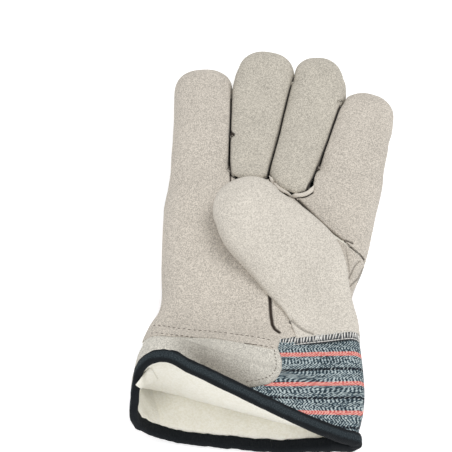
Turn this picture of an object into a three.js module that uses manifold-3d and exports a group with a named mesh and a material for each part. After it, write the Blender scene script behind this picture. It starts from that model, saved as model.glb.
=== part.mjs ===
// A lined leather-palm work glove for the right hand, lying on its back with the palm up.
// Millimetres, +X towards the index finger's side, +Y towards the fingertips, +Z up from the surface.
// The glove is drawn with the wrist seam at y = 0 and then moved, so that the middle of its
// footprint is the origin.

import * as THREE from "three";
import { mergeVertices } from "three/addons/utils/BufferGeometryUtils.js";
import Module from "manifold-3d";

const wasm = await Module();
wasm.setup();

// Driving sizes
const SHELL = 1.7; // leather and twill
const LINING = 2.2; // fleece
const GAP = 0.4; // between one piece and the next
const TRIM = 1.5; // knuckle strap, cuff patch and binding tape
const STRAP_UNDERSIDE = 0; // the strap's flat lies on the surface
const BACK_Z = STRAP_UNDERSIDE + TRIM + GAP; // underside of the hand and the cuff
const BODY_SIDES = 22;
const TUBE_SIDES = 12;
const STRAP = { near: 48, far: 86, top: 6.4 };
const TAPE = { outside: 9, inside: 4.4, inner: 1.2 }; // how far the binding reaches in from the rim
const TIP_CAP = 31; // leather over a fingertip's back, measured from the tip
const INDEX_BACK_Y = 127; // the index finger's back is leather from here
const LINING_END_Y = 86;
const RIM_OVERRUN = 20;
const CUT_REACH = 400; // larger than the glove, for the shapes that only cut

// Hand and cuff, from the rim to the finger roots. A section is the line of a cord drawn round
// three pegs: left and right stand on the back's level, crown is free. lean slopes the section
// along Y as it rises.
const HAND = [
  { y: -59, lean: 0.45, leftX: -72.6, leftR: 29, crownX: -55, crownZ: 48, crownR: 17, rightX: 53.6, rightR: 7.6 },
  { y: -47, lean: 0.43, leftX: -71.4, leftR: 26.4, crownX: -52, crownZ: 43.4, crownR: 16.6, rightX: 54.4, rightR: 7.7 },
  { y: -31, lean: 0.2, leftX: -68.5, leftR: 20, crownX: -42, crownZ: 33, crownR: 14, rightX: 55.8, rightR: 7.8 },
  { y: 0, lean: 0, leftX: -62, leftR: 11, crownX: -22, crownZ: 14.4, crownR: 12.4, rightX: 56, rightR: 10.3 },
  { y: 15, lean: 0, leftX: -60.8, leftR: 10.6, crownX: -8, crownZ: 13.8, crownR: 11.8, rightX: 52.8, rightR: 10 },
  { y: 30, lean: 0, leftX: -60.4, leftR: 11, crownX: 0, crownZ: 14.6, crownR: 12.6, rightX: 52, rightR: 10.3 },
  { y: 50, lean: 0, leftX: -60.4, leftR: 11.4, crownX: 0, crownZ: 15.4, crownR: 13.4, rightX: 60, rightR: 11 },
  { y: 88, lean: -0.1, leftX: -59.4, leftR: 11.8, crownX: 2, crownZ: 15.6, crownR: 13.6, rightX: 69.8, rightR: 11.4 },
  { y: 108, lean: -0.4, leftX: -57.2, leftR: 11.6, crownX: 6, crownZ: 14.9, crownR: 12.9, rightX: 73.6, rightR: 11.4 },
  { y: 133, lean: -0.95, leftX: -54.8, leftR: 11.2, crownX: 10, crownZ: 13.6, crownR: 11.6, rightX: 75.6, rightR: 11.2 },
];

// The lining follows the hand, except that its loose palm side sags between the rim and the wrist.
const LINING_SAG = [
  { y: -44, lean: 0.42, leftX: -70.9, leftR: 25.4, crownX: -50.4, crownZ: 41.8, crownR: 16.2, rightX: 54.6, rightR: 7.7 },
  { y: -29, lean: 0, leftX: -69, leftR: 14, crownX: -46, crownZ: 17, crownR: 14, rightX: 55.5, rightR: 7.8 },
  { y: -14, lean: 0, leftX: -65, leftR: 11.6, crownX: -32, crownZ: 15, crownR: 13, rightX: 56, rightR: 9.2 },
];

// Finger tubes: the centre line in plan, width, thickness and the underside's height.
const LITTLE = [
  { x: -39, y: 88, width: 31, thick: 19, under: 3.5 },
  { x: -37.3, y: 120, width: 35, thick: 23, under: 2.6 },
  { x: -36.4, y: 146, width: 35.4, thick: 23.4, under: 1 },
  { x: -36.2, y: 166, width: 34.8, thick: 23, under: 0 },
  { x: -37, y: 175.5, width: 33.4, thick: 22.4, under: 0 },
];
const RING = [
  { x: -9.4, y: 97.5, width: 13, thick: 13, under: 7 },
  { x: -9, y: 102, width: 22, thick: 24, under: 4.2 },
  { x: -7.4, y: 112, width: 25.4, thick: 26.4, under: 2.8 },
  { x: -5.6, y: 124, width: 26.6, thick: 25, under: 2.6 },
  { x: -2.2, y: 146, width: 30, thick: 23.4, under: 1 },
  { x: 0.7, y: 168, width: 34.6, thick: 23.4, under: 0 },
  { x: 3.4, y: 187.5, width: 34, thick: 22.6, under: 0 },
];
const MIDDLE = [
  { x: 17.2, y: 91.5, width: 14, thick: 13, under: 7.5 },
  { x: 17.4, y: 96.5, width: 25, thick: 25, under: 4.2 },
  { x: 18.6, y: 108, width: 28.2, thick: 26.6, under: 2.8 },
  { x: 22.4, y: 124, width: 28.6, thick: 25, under: 2.6 },
  { x: 28.8, y: 146, width: 29.4, thick: 23.4, under: 1 },
  { x: 36, y: 168, width: 33.6, thick: 23.4, under: 0 },
  { x: 38, y: 184, width: 33, thick: 22.6, under: 0 },
];
const INDEX = [
  { x: 50, y: 88, width: 32, thick: 19, under: 3.5 },
  { x: 56.3, y: 120, width: 36.6, thick: 23, under: 2.6 },
  { x: 59.8, y: 134, width: 36.6, thick: 23.4, under: 1.6 },
  { x: 63.6, y: 147, width: 36, thick: 23, under: 0 },
  { x: 67.2, y: 157, width: 34.4, thick: 22.4, under: 0 },
];
// The thumb rises out of the wrist's right half and folds back over the palm.
const THUMB = [
  { x: 32, y: -12, width: 49.6, thick: 22.4, under: 2.7, heading: 90 },
  { x: 30.4, y: 10, width: 49, thick: 23.4, under: 3.2, heading: 95 },
  { x: 27, y: 24, width: 51, thick: 25, under: 9, heading: 108 },
  { x: 20, y: 38.5, width: 53.6, thick: 24, under: 20, heading: 124 },
  { x: 8, y: 52, width: 54, thick: 22.6, under: 28.4, heading: 132 },
  { x: -4.6, y: 66, width: 50.6, thick: 22, under: 31.2, heading: 133 },
];

// Where the sewn edges run, as seen from above.
const WRIST_SEAM = { middle: -4.5, rise: 8, halfWidth: 60, steps: 8 };
const PATCH_EDGE = [[9, 20], [9.6, -16], [10.2, -24], [8.6, -31], [4, -36.5], [-6, -43], [-20, -48]];
const GUSSET_SEAM = { x: 44, y: 46.6, slope: 0.33 };
// Height of the seam between the palm's leather and the back, along the hand.
const SIDE_SEAM = [
  { y: -CUT_REACH, z: 12.6 },
  { y: 98, z: 12.6 },
  { y: 126, z: 4.4 },
  { y: CUT_REACH, z: 4.4 },
];

const SAME_POINT = 0.01;
const DOME_STEPS = [0.5, 0.82, 0.97];

// The outline round a set of pegs, as points with their outward directions. Sharp turns get as
// many points as long straights.
function pegOutline(pegs, count) {
  const dense = 720;
  const track = [];
  for (let i = 0; i < dense; i++) {
    const turn = (i / dense) * 2 * Math.PI - Math.PI / 2;
    const outX = Math.cos(turn);
    const outZ = Math.sin(turn);
    const reach = (peg) => peg.x * outX + peg.z * outZ + peg.r;
    const peg = pegs.reduce((best, next) => (reach(next) > reach(best) + 1e-9 ? next : best));
    track.push({ x: peg.x + peg.r * outX, z: peg.z + peg.r * outZ, outX, outZ });
  }
  const lengths = track.map((p, i) => {
    const next = track[(i + 1) % dense];
    return Math.hypot(next.x - p.x, next.z - p.z);
  });
  const around = lengths.reduce((sum, length) => sum + length, 0);
  const shares = lengths.map((length) => length / around + 1 / dense);
  const points = [];
  let passed = 0;
  let i = 0;
  for (let k = 0; k < count; k++) {
    const wanted = (2 * (k + 0.5)) / count;
    while (passed + shares[i] < wanted) passed += shares[i++];
    const t = (wanted - passed) / shares[i];
    const a = track[i];
    const b = track[(i + 1) % dense];
    points.push({ x: a.x + t * (b.x - a.x), z: a.z + t * (b.z - a.z) });
  }
  return points;
}

// A closed skin through rings of points, with flat ends.
function skin(rings) {
  const sides = rings[0].length;
  const corners = rings.flat();
  const faces = [];
  for (let r = 0; r + 1 < rings.length; r++) {
    for (let k = 0; k < sides; k++) {
      const a = r * sides + k;
      const b = r * sides + ((k + 1) % sides);
      faces.push(a, a + sides, b, b, a + sides, b + sides);
    }
  }
  const middle = (ring) => ring.reduce((sum, p) => sum.clone().add(p), new THREE.Vector3()).divideScalar(sides);
  const start = corners.push(middle(rings[0])) - 1;
  const end = corners.push(middle(rings[rings.length - 1])) - 1;
  const last = (rings.length - 1) * sides;
  for (let k = 0; k < sides; k++) {
    const next = (k + 1) % sides;
    faces.push(start, k, next, end, last + next, last + k);
  }
  const geometry = new THREE.BufferGeometry().setFromPoints(corners);
  geometry.setIndex(faces);
  return geometry;
}

// The same skin moved out along its own normals, or in where the distance is negative.
function grown(geometry, distance) {
  const made = geometry.clone();
  made.computeVertexNormals();
  const at = made.getAttribute("position");
  const out = made.getAttribute("normal");
  for (let i = 0; i < at.count; i++) {
    at.setXYZ(
      i,
      at.getX(i) + distance * out.getX(i),
      at.getY(i) + distance * out.getY(i),
      at.getZ(i) + distance * out.getZ(i),
    );
  }
  made.deleteAttribute("normal");
  return made;
}

function solid(geometry) {
  const bare = geometry.clone();
  bare.deleteAttribute("normal");
  bare.deleteAttribute("uv");
  const merged = mergeVertices(bare, 1e-4);
  const made = new wasm.Manifold(
    new wasm.Mesh({
      numProp: 3,
      vertProperties: merged.getAttribute("position").array,
      triVerts: new Uint32Array(merged.index.array),
    }),
  );
  if (made.volume() > 0) return made;
  for (let i = 0; i < merged.index.count; i += 3) {
    const second = merged.index.getX(i + 1);
    merged.index.setX(i + 1, merged.index.getX(i + 2));
    merged.index.setX(i + 2, second);
  }
  return solid(merged);
}

const handPegs = (row) => [
  { x: row.leftX + row.leftR, z: BACK_Z + row.leftR, r: row.leftR },
  { x: row.rightX - row.rightR, z: BACK_Z + row.rightR, r: row.rightR },
  { x: row.crownX, z: row.crownZ, r: row.crownR },
];

// The skin runs on past the rim, where the rim's plane cuts it off.
function handSkin(rows) {
  const rings = rows.map((row) =>
    pegOutline(handPegs(row), BODY_SIDES).map((p) => new THREE.Vector3(p.x, row.y + row.lean * p.z, p.z)),
  );
  rings.unshift(rings[0].map((p) => p.clone().add(new THREE.Vector3(0, -RIM_OVERRUN, 0))));
  return skin(rings);
}

function tubeRing(row, heading, scale) {
  const width = row.width * scale;
  const thick = row.thick * scale;
  const radius = Math.min(width, thick) / 2;
  const wide = Math.max(width / 2 - radius, 0);
  const tall = Math.max(thick / 2 - radius, 0);
  const pegs = [
    { x: -wide, z: -tall, r: radius },
    { x: wide, z: -tall, r: radius },
    { x: wide, z: tall, r: radius },
    { x: -wide, z: tall, r: radius },
  ];
  const side = new THREE.Vector3(Math.sin(heading), -Math.cos(heading), 0);
  const centre = new THREE.Vector3(row.x, row.y, row.under + row.thick / 2);
  return pegOutline(pegs, TUBE_SIDES).map((p) =>
    centre.clone().addScaledVector(side, p.x).add(new THREE.Vector3(0, 0, p.z)),
  );
}

function headingAt(rows, i) {
  if (rows[i].heading !== undefined) return THREE.MathUtils.degToRad(rows[i].heading);
  const before = rows[Math.max(i - 1, 0)];
  const after = rows[Math.min(i + 1, rows.length - 1)];
  return Math.atan2(after.y - before.y, after.x - before.x);
}

// A finger: its rows, and then a dome as long as half its width.
function fingerSkin(rows) {
  const rings = rows.map((row, i) => tubeRing(row, headingAt(rows, i), 1));
  const last = rows[rows.length - 1];
  const heading = headingAt(rows, rows.length - 1);
  for (const along of DOME_STEPS) {
    const step = (along * last.width) / 2;
    const row = { ...last, x: last.x + step * Math.cos(heading), y: last.y + step * Math.sin(heading) };
    rings.push(tubeRing(row, heading, Math.sqrt(1 - along * along)));
  }
  return skin(rings);
}

// Cutting shapes
function prism(points, low, high) {
  const outline = new THREE.Shape(points.map(([x, y]) => new THREE.Vector2(x, y)));
  const geometry = new THREE.ExtrudeGeometry(outline, { depth: high - low, bevelEnabled: false });
  return solid(geometry.translate(0, 0, low));
}

function halfSpaceY(from, sign) {
  const geometry = new THREE.BoxGeometry(2 * CUT_REACH, CUT_REACH, 2 * CUT_REACH);
  return solid(geometry.translate(0, from + (sign * CUT_REACH) / 2, 0));
}

// Everything on the finger side of the wrist seam, moved along Y by shift.
function handSideOfSeam(shift) {
  const points = [];
  for (let i = 0; i <= WRIST_SEAM.steps; i++) {
    const x = WRIST_SEAM.halfWidth * (-1.4 + (2.8 * i) / WRIST_SEAM.steps);
    points.push([x, WRIST_SEAM.middle + WRIST_SEAM.rise * (x / WRIST_SEAM.halfWidth) ** 2 + shift]);
  }
  points.push([CUT_REACH, CUT_REACH], [-CUT_REACH, CUT_REACH]);
  return prism(points, -CUT_REACH, CUT_REACH);
}

// Everything above the side seam, moved up by shift.
function aboveSideSeam(shift) {
  const points = SIDE_SEAM.map((row) => [row.y, row.z + shift]);
  points.push([CUT_REACH, CUT_REACH], [-CUT_REACH, CUT_REACH]);
  const outline = new THREE.Shape(points.map(([y, z]) => new THREE.Vector2(y, z)));
  const geometry = new THREE.ExtrudeGeometry(outline, { depth: 2 * CUT_REACH, bevelEnabled: false });
  geometry.translate(0, 0, -CUT_REACH);
  geometry.applyMatrix4(new THREE.Matrix4().makeBasis(
    new THREE.Vector3(0, 1, 0),
    new THREE.Vector3(0, 0, 1),
    new THREE.Vector3(1, 0, 0),
  ));
  return solid(geometry);
}

// A slab of the cuff, measured from the rim's own plane towards the hand. The plane lies just
// inside the first section.
function fromRim(near, far) {
  const rim = HAND[0];
  const geometry = new THREE.BoxGeometry(2 * CUT_REACH, far - near, 2 * CUT_REACH);
  geometry.translate(0, (near + far) / 2, 0);
  geometry.applyMatrix4(new THREE.Matrix4().makeRotationX(-Math.atan(rim.lean)));
  return solid(geometry.translate(0, rim.y + 0.4, 0));
}

// The stretch of a finger beyond the edge of its tip cap.
function tipZone(rows, shift) {
  const last = rows[rows.length - 1];
  const heading = headingAt(rows, rows.length - 1);
  const back = TIP_CAP - last.width / 2 + shift;
  const geometry = new THREE.BoxGeometry(CUT_REACH, last.width + 8, CUT_REACH);
  geometry.translate(CUT_REACH / 2 - back, 0, 0);
  geometry.applyMatrix4(new THREE.Matrix4().makeRotationZ(heading));
  return solid(geometry.translate(last.x, last.y, 0));
}

const largest = (made) => made.decompose().reduce((a, b) => (b.volume() > a.volume() ? b : a));
const union = (...solids) => solids.reduce((a, b) => a.add(b));

const skins = {
  hand: handSkin(HAND),
  little: fingerSkin(LITTLE),
  ring: fingerSkin(RING),
  middle: fingerSkin(MIDDLE),
  index: fingerSkin(INDEX),
  thumb: fingerSkin(THUMB),
};
const liningRows = [HAND[0], HAND[1], ...LINING_SAG, ...HAND.filter((row) => row.y >= 0)];

const outer = Object.fromEntries(Object.entries(skins).map(([name, made]) => [name, solid(made)]));
const clear = Object.fromEntries(Object.entries(skins).map(([name, made]) => [name, solid(grown(made, GAP))]));
outer.ring = outer.ring.subtract(clear.little);
outer.middle = outer.middle.subtract(clear.ring);
outer.index = outer.index.subtract(clear.middle);
outer.hand = outer.hand.intersect(fromRim(0, CUT_REACH));
const handHollow = solid(grown(skins.hand, -SHELL));
const hollow = union(
  handHollow,
  ...["little", "ring", "middle", "index", "thumb"].map((name) => solid(grown(skins[name], -SHELL))),
);

const handSide = handSideOfSeam(GAP / 2);
const palmSide = aboveSideSeam(GAP / 2);
const belowSideSeam = aboveSideSeam(-GAP / 2);

function palm() {
  const whole = union(outer.hand, outer.little, outer.index).intersect(handSide).intersect(palmSide);
  const set = whole.subtract(hollow).subtract(clear.ring).subtract(clear.middle).subtract(clear.thumb);
  return largest(set.subtract(gussetZone(GAP / 2)));
}

const fingerFront = (name) => largest(outer[name].subtract(hollow).intersect(palmSide));

function thumb() {
  return largest(outer.thumb.subtract(hollow).intersect(handSide).intersect(palmSide));
}

// The corner under the thumb's root, on the wrist side of a short slanting seam. A positive shift
// widens it.
function gussetZone(shift) {
  const far = CUT_REACH;
  const near = GUSSET_SEAM.x - shift;
  const at = (x) => GUSSET_SEAM.y + GUSSET_SEAM.slope * (x - GUSSET_SEAM.x) + shift;
  return prism([[near, 5 - shift], [far, 5 - shift], [far, at(far)], [near, at(near)]], 0, far);
}

function thumbGusset() {
  const wall = outer.hand.subtract(hollow).subtract(clear.thumb);
  return largest(wall.intersect(palmSide).intersect(gussetZone(-GAP / 2)));
}

// A positive shift widens it.
function indexZone(shift) {
  const left = MIDDLE[3].x + MIDDLE[3].width / 2 - shift;
  const near = INDEX_BACK_Y - shift;
  return prism([[left, near], [CUT_REACH, near], [CUT_REACH, CUT_REACH], [left, CUT_REACH]], -CUT_REACH, CUT_REACH);
}

function indexBack() {
  const wall = union(outer.index, outer.hand).subtract(hollow).subtract(clear.middle);
  return largest(wall.subtract(belowSideSeam).intersect(indexZone(-GAP / 2)));
}

const fingerTip = (name, rows) =>
  largest(outer[name].subtract(hollow).subtract(belowSideSeam).intersect(tipZone(rows, -GAP / 2)));

function handBack() {
  const whole = union(outer.hand.subtract(indexZone(GAP / 2)), outer.little, outer.ring, outer.middle);
  let wall = whole.subtract(hollow).subtract(belowSideSeam).intersect(handSide);
  for (const rows of [LITTLE, RING, MIDDLE]) wall = wall.subtract(tipZone(rows, GAP / 2));
  return largest(wall.subtract(clear.index.intersect(indexZone(GAP / 2))));
}

const outerBand = () => solid(grown(skins.hand, GAP + TRIM)).subtract(clear.hand);

function knuckleStrap() {
  const span = prism([[-CUT_REACH, STRAP.near], [CUT_REACH, STRAP.near], [CUT_REACH, STRAP.far],
    [-CUT_REACH, STRAP.far]], -CUT_REACH, STRAP.top);
  return largest(outerBand().intersect(span));
}

function cuff() {
  const wall = outer.hand.subtract(handHollow).intersect(fromRim(0, CUT_REACH));
  return largest(wall.subtract(handSideOfSeam(-GAP / 2)));
}

// Leather over the cuff's palm side, left of the middle, with a round lower corner.
function cuffPatch() {
  const outline = [...PATCH_EDGE, [-CUT_REACH, -48], [-CUT_REACH, 20]];
  const band = outerBand().intersect(prism(outline, SIDE_SEAM[0].z + 8, CUT_REACH));
  return largest(band.intersect(fromRim(TAPE.outside + GAP, CUT_REACH)).subtract(handSideOfSeam(-GAP / 2)));
}

// Black tape folded round the rim, over the cuff outside and the lining inside.
function binding() {
  const depth = SHELL + LINING + 5 * GAP;
  const mouth = solid(grown(skins.hand, -depth - TAPE.inner));
  const band = solid(grown(skins.hand, GAP + TRIM)).subtract(mouth);
  const slot = clear.hand.subtract(solid(grown(skins.hand, -depth))).intersect(fromRim(-GAP, CUT_REACH));
  const short = clear.hand.intersect(fromRim(TAPE.inside, CUT_REACH));
  return largest(band.intersect(fromRim(-GAP - TRIM, TAPE.outside)).subtract(slot).subtract(short));
}

// Fleece sleeve inside the cuff and the hand, open at both ends and at the thumb.
function lining() {
  const inside = (distance) =>
    solid(grown(handSkin(liningRows), distance - 0.1)).intersect(solid(grown(skins.hand, distance)));
  const outside = -(SHELL + GAP);
  const thumbHole = solid(grown(skins.thumb, outside)).intersect(
    prism([[-CUT_REACH, 8], [CUT_REACH, 8], [CUT_REACH, CUT_REACH], [-CUT_REACH, CUT_REACH]], 14, CUT_REACH),
  );
  const wall = inside(outside).subtract(inside(outside - LINING)).subtract(thumbHole);
  return largest(wall.intersect(halfSpaceY(LINING_END_Y, -1)).intersect(fromRim(0, CUT_REACH)));
}

const leather = () => new THREE.MeshStandardMaterial({ color: 0xcfc6bb, roughness: 0.95, metalness: 0 });
const twill = () => new THREE.MeshStandardMaterial({ color: 0x4f626d, roughness: 0.9, metalness: 0 });
const fleece = () => new THREE.MeshStandardMaterial({ color: 0xf0ede0, roughness: 1, metalness: 0 });
const tape = () => new THREE.MeshStandardMaterial({ color: 0x22272a, roughness: 0.8, metalness: 0 });

// The solid's triangles, without the ones whose corners a cut left on top of each other.
function meshOf(made) {
  const mesh = made.getMesh();
  const geometry = new THREE.BufferGeometry();
  geometry.setAttribute("position", new THREE.BufferAttribute(new Float32Array(mesh.vertProperties), 3));
  geometry.setIndex(new THREE.BufferAttribute(new Uint32Array(mesh.triVerts), 1));
  const merged = mergeVertices(geometry, SAME_POINT);
  const kept = [];
  for (let i = 0; i < merged.index.count; i += 3) {
    const face = [0, 1, 2].map((k) => merged.index.getX(i + k));
    if (new Set(face).size === 3) kept.push(...face);
  }
  merged.setIndex(kept);
  return merged;
}

const glove = new THREE.Group();
function add(name, made, material) {
  const mesh = new THREE.Mesh(meshOf(made), material);
  mesh.name = name;
  glove.add(mesh);
}

add("palm", palm(), leather());
add("ring_front", fingerFront("ring"), leather());
add("middle_front", fingerFront("middle"), leather());
add("thumb", thumb(), leather());
add("thumb_gusset", thumbGusset(), leather());
add("index_back", indexBack(), leather());
add("tip_little", fingerTip("little", LITTLE), leather());
add("tip_ring", fingerTip("ring", RING), leather());
add("tip_middle", fingerTip("middle", MIDDLE), leather());
add("hand_back", handBack(), twill());
add("knuckle_strap", knuckleStrap(), leather());
add("cuff", cuff(), twill());
add("cuff_patch", cuffPatch(), leather());
add("binding", binding(), tape());
add("lining", lining(), fleece());

const footprint = new THREE.Box3().setFromObject(glove);
const middle = footprint.getCenter(new THREE.Vector3());
glove.position.set(-middle.x, -middle.y, -footprint.min.z);

export default glove;
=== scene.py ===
import math
import random

import bmesh
import bpy
import numpy as np
from mathutils import Matrix, Vector, kdtree, noise
from mathutils.bvhtree import BVHTree


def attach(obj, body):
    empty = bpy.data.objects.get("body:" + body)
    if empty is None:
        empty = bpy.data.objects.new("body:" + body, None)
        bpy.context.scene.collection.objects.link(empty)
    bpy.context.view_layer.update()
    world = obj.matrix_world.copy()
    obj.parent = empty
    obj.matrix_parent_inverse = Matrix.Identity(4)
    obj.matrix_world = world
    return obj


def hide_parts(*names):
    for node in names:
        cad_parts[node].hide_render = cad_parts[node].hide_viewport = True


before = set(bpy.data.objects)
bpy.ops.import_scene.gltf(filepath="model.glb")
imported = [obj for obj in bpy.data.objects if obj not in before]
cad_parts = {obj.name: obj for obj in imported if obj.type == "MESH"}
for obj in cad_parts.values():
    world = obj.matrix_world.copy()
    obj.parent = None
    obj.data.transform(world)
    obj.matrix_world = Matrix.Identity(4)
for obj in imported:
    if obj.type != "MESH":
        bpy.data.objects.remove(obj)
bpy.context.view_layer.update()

# A lined leather-palm work glove, lying on its back. Everything is drawn in millimetres with the
# wrist seam at y = 0, and put in its place in metres by toGlove at the very end of each piece.
toGlove = Matrix.Scale(0.001, 4) @ Matrix.Translation((-4.846, -71.875, 0))
draw = random.Random(11)


def eased(t):
    return t * t * (3 - 2 * t)


def smoothStep(low, high, value):
    return eased(min(1, max(0, (value - low) / (high - low))))


def between(rows, at):
    # a smooth curve through the rows, by their first column
    i = max(0, min(len(rows) - 2, sum(1 for row in rows if row[0] <= at) - 1))
    before, a, b, after = rows[max(i - 1, 0)], rows[i], rows[i + 1], rows[min(i + 2, len(rows) - 1)]
    span = b[0] - a[0]
    t = min(1, max(0, (at - a[0]) / span))
    values = []
    for k in range(1, len(a)):
        slopeA = (b[k] - before[k]) / (b[0] - before[0]) * span
        slopeB = (after[k] - a[k]) / (after[0] - a[0]) * span
        values.append((2 * t**3 - 3 * t**2 + 1) * a[k] + (t**3 - 2 * t**2 + t) * slopeA
                      + (3 * t**2 - 2 * t**3) * b[k] + (t**3 - t**2) * slopeB)
    return values


def alongPath(path, step):
    # evenly spaced points on a smooth curve through the path
    points = [Vector(p) for p in path]
    lengths = [0]
    for a, b in zip(points, points[1:]):
        lengths.append(lengths[-1] + (b - a).length)
    rows = [(s, *p) for s, p in zip(lengths, points)]
    count = max(2, round(lengths[-1] / step))
    return [Vector(between(rows, lengths[-1] * i / count)) for i in range(count + 1)]


def pegOutline(pegs, count):
    # the line of a cord drawn round pegs (x, z, radius): count + 1 even points from the lower left
    steps, lean = 720, 0.3  # the lean keeps the start away from where two pegs tie
    pegs = np.array(pegs, float)
    turns = np.arange(steps) / steps * 2 * np.pi - np.pi / 2 - lean
    out = np.stack([np.cos(turns), np.sin(turns)], 1)
    best = (pegs[:, :2] @ out.T + pegs[:, 2:]).argmax(0)
    return evenly(pegs[best, :2] + pegs[best, 2:] * out, count)


def evenly(track, count):
    closed = np.vstack([track, track[:1]])
    passed = np.concatenate([[0], np.cumsum(np.linalg.norm(np.diff(closed, axis=0), axis=1))])
    wanted = np.linspace(0, passed[-1], count + 1)
    return np.stack([np.interp(wanted, passed, closed[:, k]) for k in range(closed.shape[1])], 1)


def superOval(halfWidth, halfThick, power, count):
    turns = np.arange(count + 1) / count * 2 * np.pi - np.pi / 2
    cos, sin = np.cos(turns), np.sin(turns)
    return (halfWidth * np.sign(cos) * np.abs(cos) ** (2 / power),
            halfThick * np.sign(sin) * np.abs(sin) ** (2 / power))


def sheetGrid(points, uvs=None):
    # a bmesh grid whose vertices are moved to points[row][column]
    rows, columns = len(points), len(points[0])
    bm = bmesh.new()
    bmesh.ops.create_grid(bm, x_segments=columns - 1, y_segments=rows - 1, size=1)
    bm.verts.ensure_lookup_table()
    for r in range(rows):
        for c in range(columns):
            bm.verts[r * columns + c].co = points[r][c]
    if uvs is not None:
        layer = bm.loops.layers.uv.new("cloth")
        for face in bm.faces:
            for loop in face.loops:
                r, c = divmod(loop.vert.index, columns)
                loop[layer].uv = uvs[r][c]
    return bm


def closeTube(bm, ends=True):
    # joins the first column to the last, fills the open ends and turns the faces outwards
    bmesh.ops.remove_doubles(bm, verts=bm.verts, dist=0.001)
    if ends:
        bmesh.ops.holes_fill(bm, edges=[e for e in bm.edges if e.is_boundary], sides=0)
    bmesh.ops.recalc_face_normals(bm, faces=bm.faces)
    return bm


def meshFrom(bm, name="work"):
    mesh = bpy.data.meshes.new(name)
    bm.to_mesh(mesh)
    return mesh


def remeshed(meshes, voxel, rounds):
    # one skin round several closed shapes, with its steps smoothed away
    bm = bmesh.new()
    for mesh in meshes:
        bm.from_mesh(mesh)
    piece = bpy.data.objects.new("remesh", meshFrom(bm))
    bm.free()
    bpy.context.scene.collection.objects.link(piece)
    skin = piece.modifiers.new("skin", "REMESH")
    skin.mode = "VOXEL"
    skin.voxel_size = voxel
    made = bpy.data.meshes.new_from_object(piece.evaluated_get(bpy.context.evaluated_depsgraph_get()))
    bpy.data.objects.remove(piece)
    bm = bmesh.new()
    bm.from_mesh(made)
    for _ in range(rounds):
        bmesh.ops.smooth_vert(bm, verts=bm.verts, factor=0.5,
                              use_axis_x=True, use_axis_y=True, use_axis_z=True)
    return bm


def cutAway(bm, field):
    # removes what lies where the field is negative, with a clean edge along its zero line
    spot = bm.verts.layers.float_vector.get("spot") or bm.verts.layers.float_vector.new("spot")
    for vert in bm.verts:
        vert[spot] = vert.co
    for vert in bm.verts:
        vert.co.z = field(vert.co)
    bmesh.ops.bisect_plane(bm, geom=bm.verts[:] + bm.edges[:] + bm.faces[:], dist=1e-4,
                           plane_co=(0, 0, 0), plane_no=(0, 0, 1), clear_inner=True)
    for vert in bm.verts:
        vert.co = vert[spot]


def largestPart(bm):
    bm.verts.ensure_lookup_table()
    seen, parts = set(), []
    for start in bm.verts:
        if start.index in seen:
            continue
        seen.add(start.index)
        part, queue = [], [start]
        while queue:
            vert = queue.pop()
            part.append(vert)
            for edge in vert.link_edges:
                other = edge.other_vert(vert)
                if other.index not in seen:
                    seen.add(other.index)
                    queue.append(other)
        parts.append(part)
    parts.sort(key=len)
    bmesh.ops.delete(bm, geom=[v for part in parts[:-1] for v in part], context="VERTS")


def tidyEdge(bm):
    # merges the slivers that a cut leaves along the border
    bmesh.ops.remove_doubles(bm, verts=[v for v in bm.verts if v.is_boundary], dist=0.3)
    loose = [v for v in bm.verts if not v.link_faces]
    bmesh.ops.delete(bm, geom=loose, context="VERTS")


def cutFrom(source, *fields):
    # a copy of the shape with each field cut away in turn, and only its largest part
    sheet = source.copy()
    for field in fields:
        cutAway(sheet, field)
    largestPart(sheet)
    tidyEdge(sheet)
    return sheet


def pushAlong(bm, amount):
    bm.normal_update()
    moves = [(vert, vert.normal * amount(vert.co, vert.normal)) for vert in bm.verts]
    for vert, move in moves:
        vert.co += move


def rollEdges(bm, reach, depth, where=None):
    # the sheet turns down into its seams
    border = [v for v in bm.verts if v.is_boundary and (where is None or where(v.co))]
    tree = kdtree.KDTree(len(border))
    for i, vert in enumerate(border):
        tree.insert(vert.co, i)
    tree.balance()

    def turnedDown(co, normal):
        near = tree.find(co)[2]
        return -depth * (1 - near / reach) ** 2 if near < reach else 0

    pushAlong(bm, turnedDown)


def turnTowards(bm, probe, direction):
    # the sheet faces the way given, where the probe (a point or face of it) is
    if probe.normal.dot(direction) < 0:
        bmesh.ops.reverse_faces(bm, faces=bm.faces)


def treeOf(bm):
    bm.normal_update()
    return BVHTree.FromBMesh(bm)


def signedDistance(tree, co):
    spot, normal, _, far = tree.find_nearest(co)
    return far if (co - spot).dot(normal) >= 0 else -far


def pathField(path):
    # signed distance in plan to a path; positive on its left-hand side
    points = [Vector(p[:2]) for p in path]

    def field(co):
        best, side = 1e9, 1
        spot = Vector((co.x, co.y))
        for a, b in zip(points, points[1:]):
            run = b - a
            t = min(1, max(0, (spot - a).dot(run) / run.length_squared))
            far = (spot - (a + run * t)).length
            if far < best - 1e-6:
                best = far
                side = 1 if run.x * (spot.y - a.y) - run.y * (spot.x - a.x) >= 0 else -1
        return best * side
    return field


def lineDistance(path, co):
    best = 1e9
    for a, b in zip(path, path[1:]):
        ax, ay, bx, by = a[0], a[1], b[0], b[1]
        rx, ry = bx - ax, by - ay
        t = min(1, max(0, ((co.x - ax) * rx + (co.y - ay) * ry) / (rx * rx + ry * ry)))
        best = min(best, math.hypot(co.x - ax - t * rx, co.y - ay - t * ry))
    return best


def waves(co, size, seed):
    return noise.noise(Vector((co.x / size + seed, co.y / size, co.z / size)))


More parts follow.
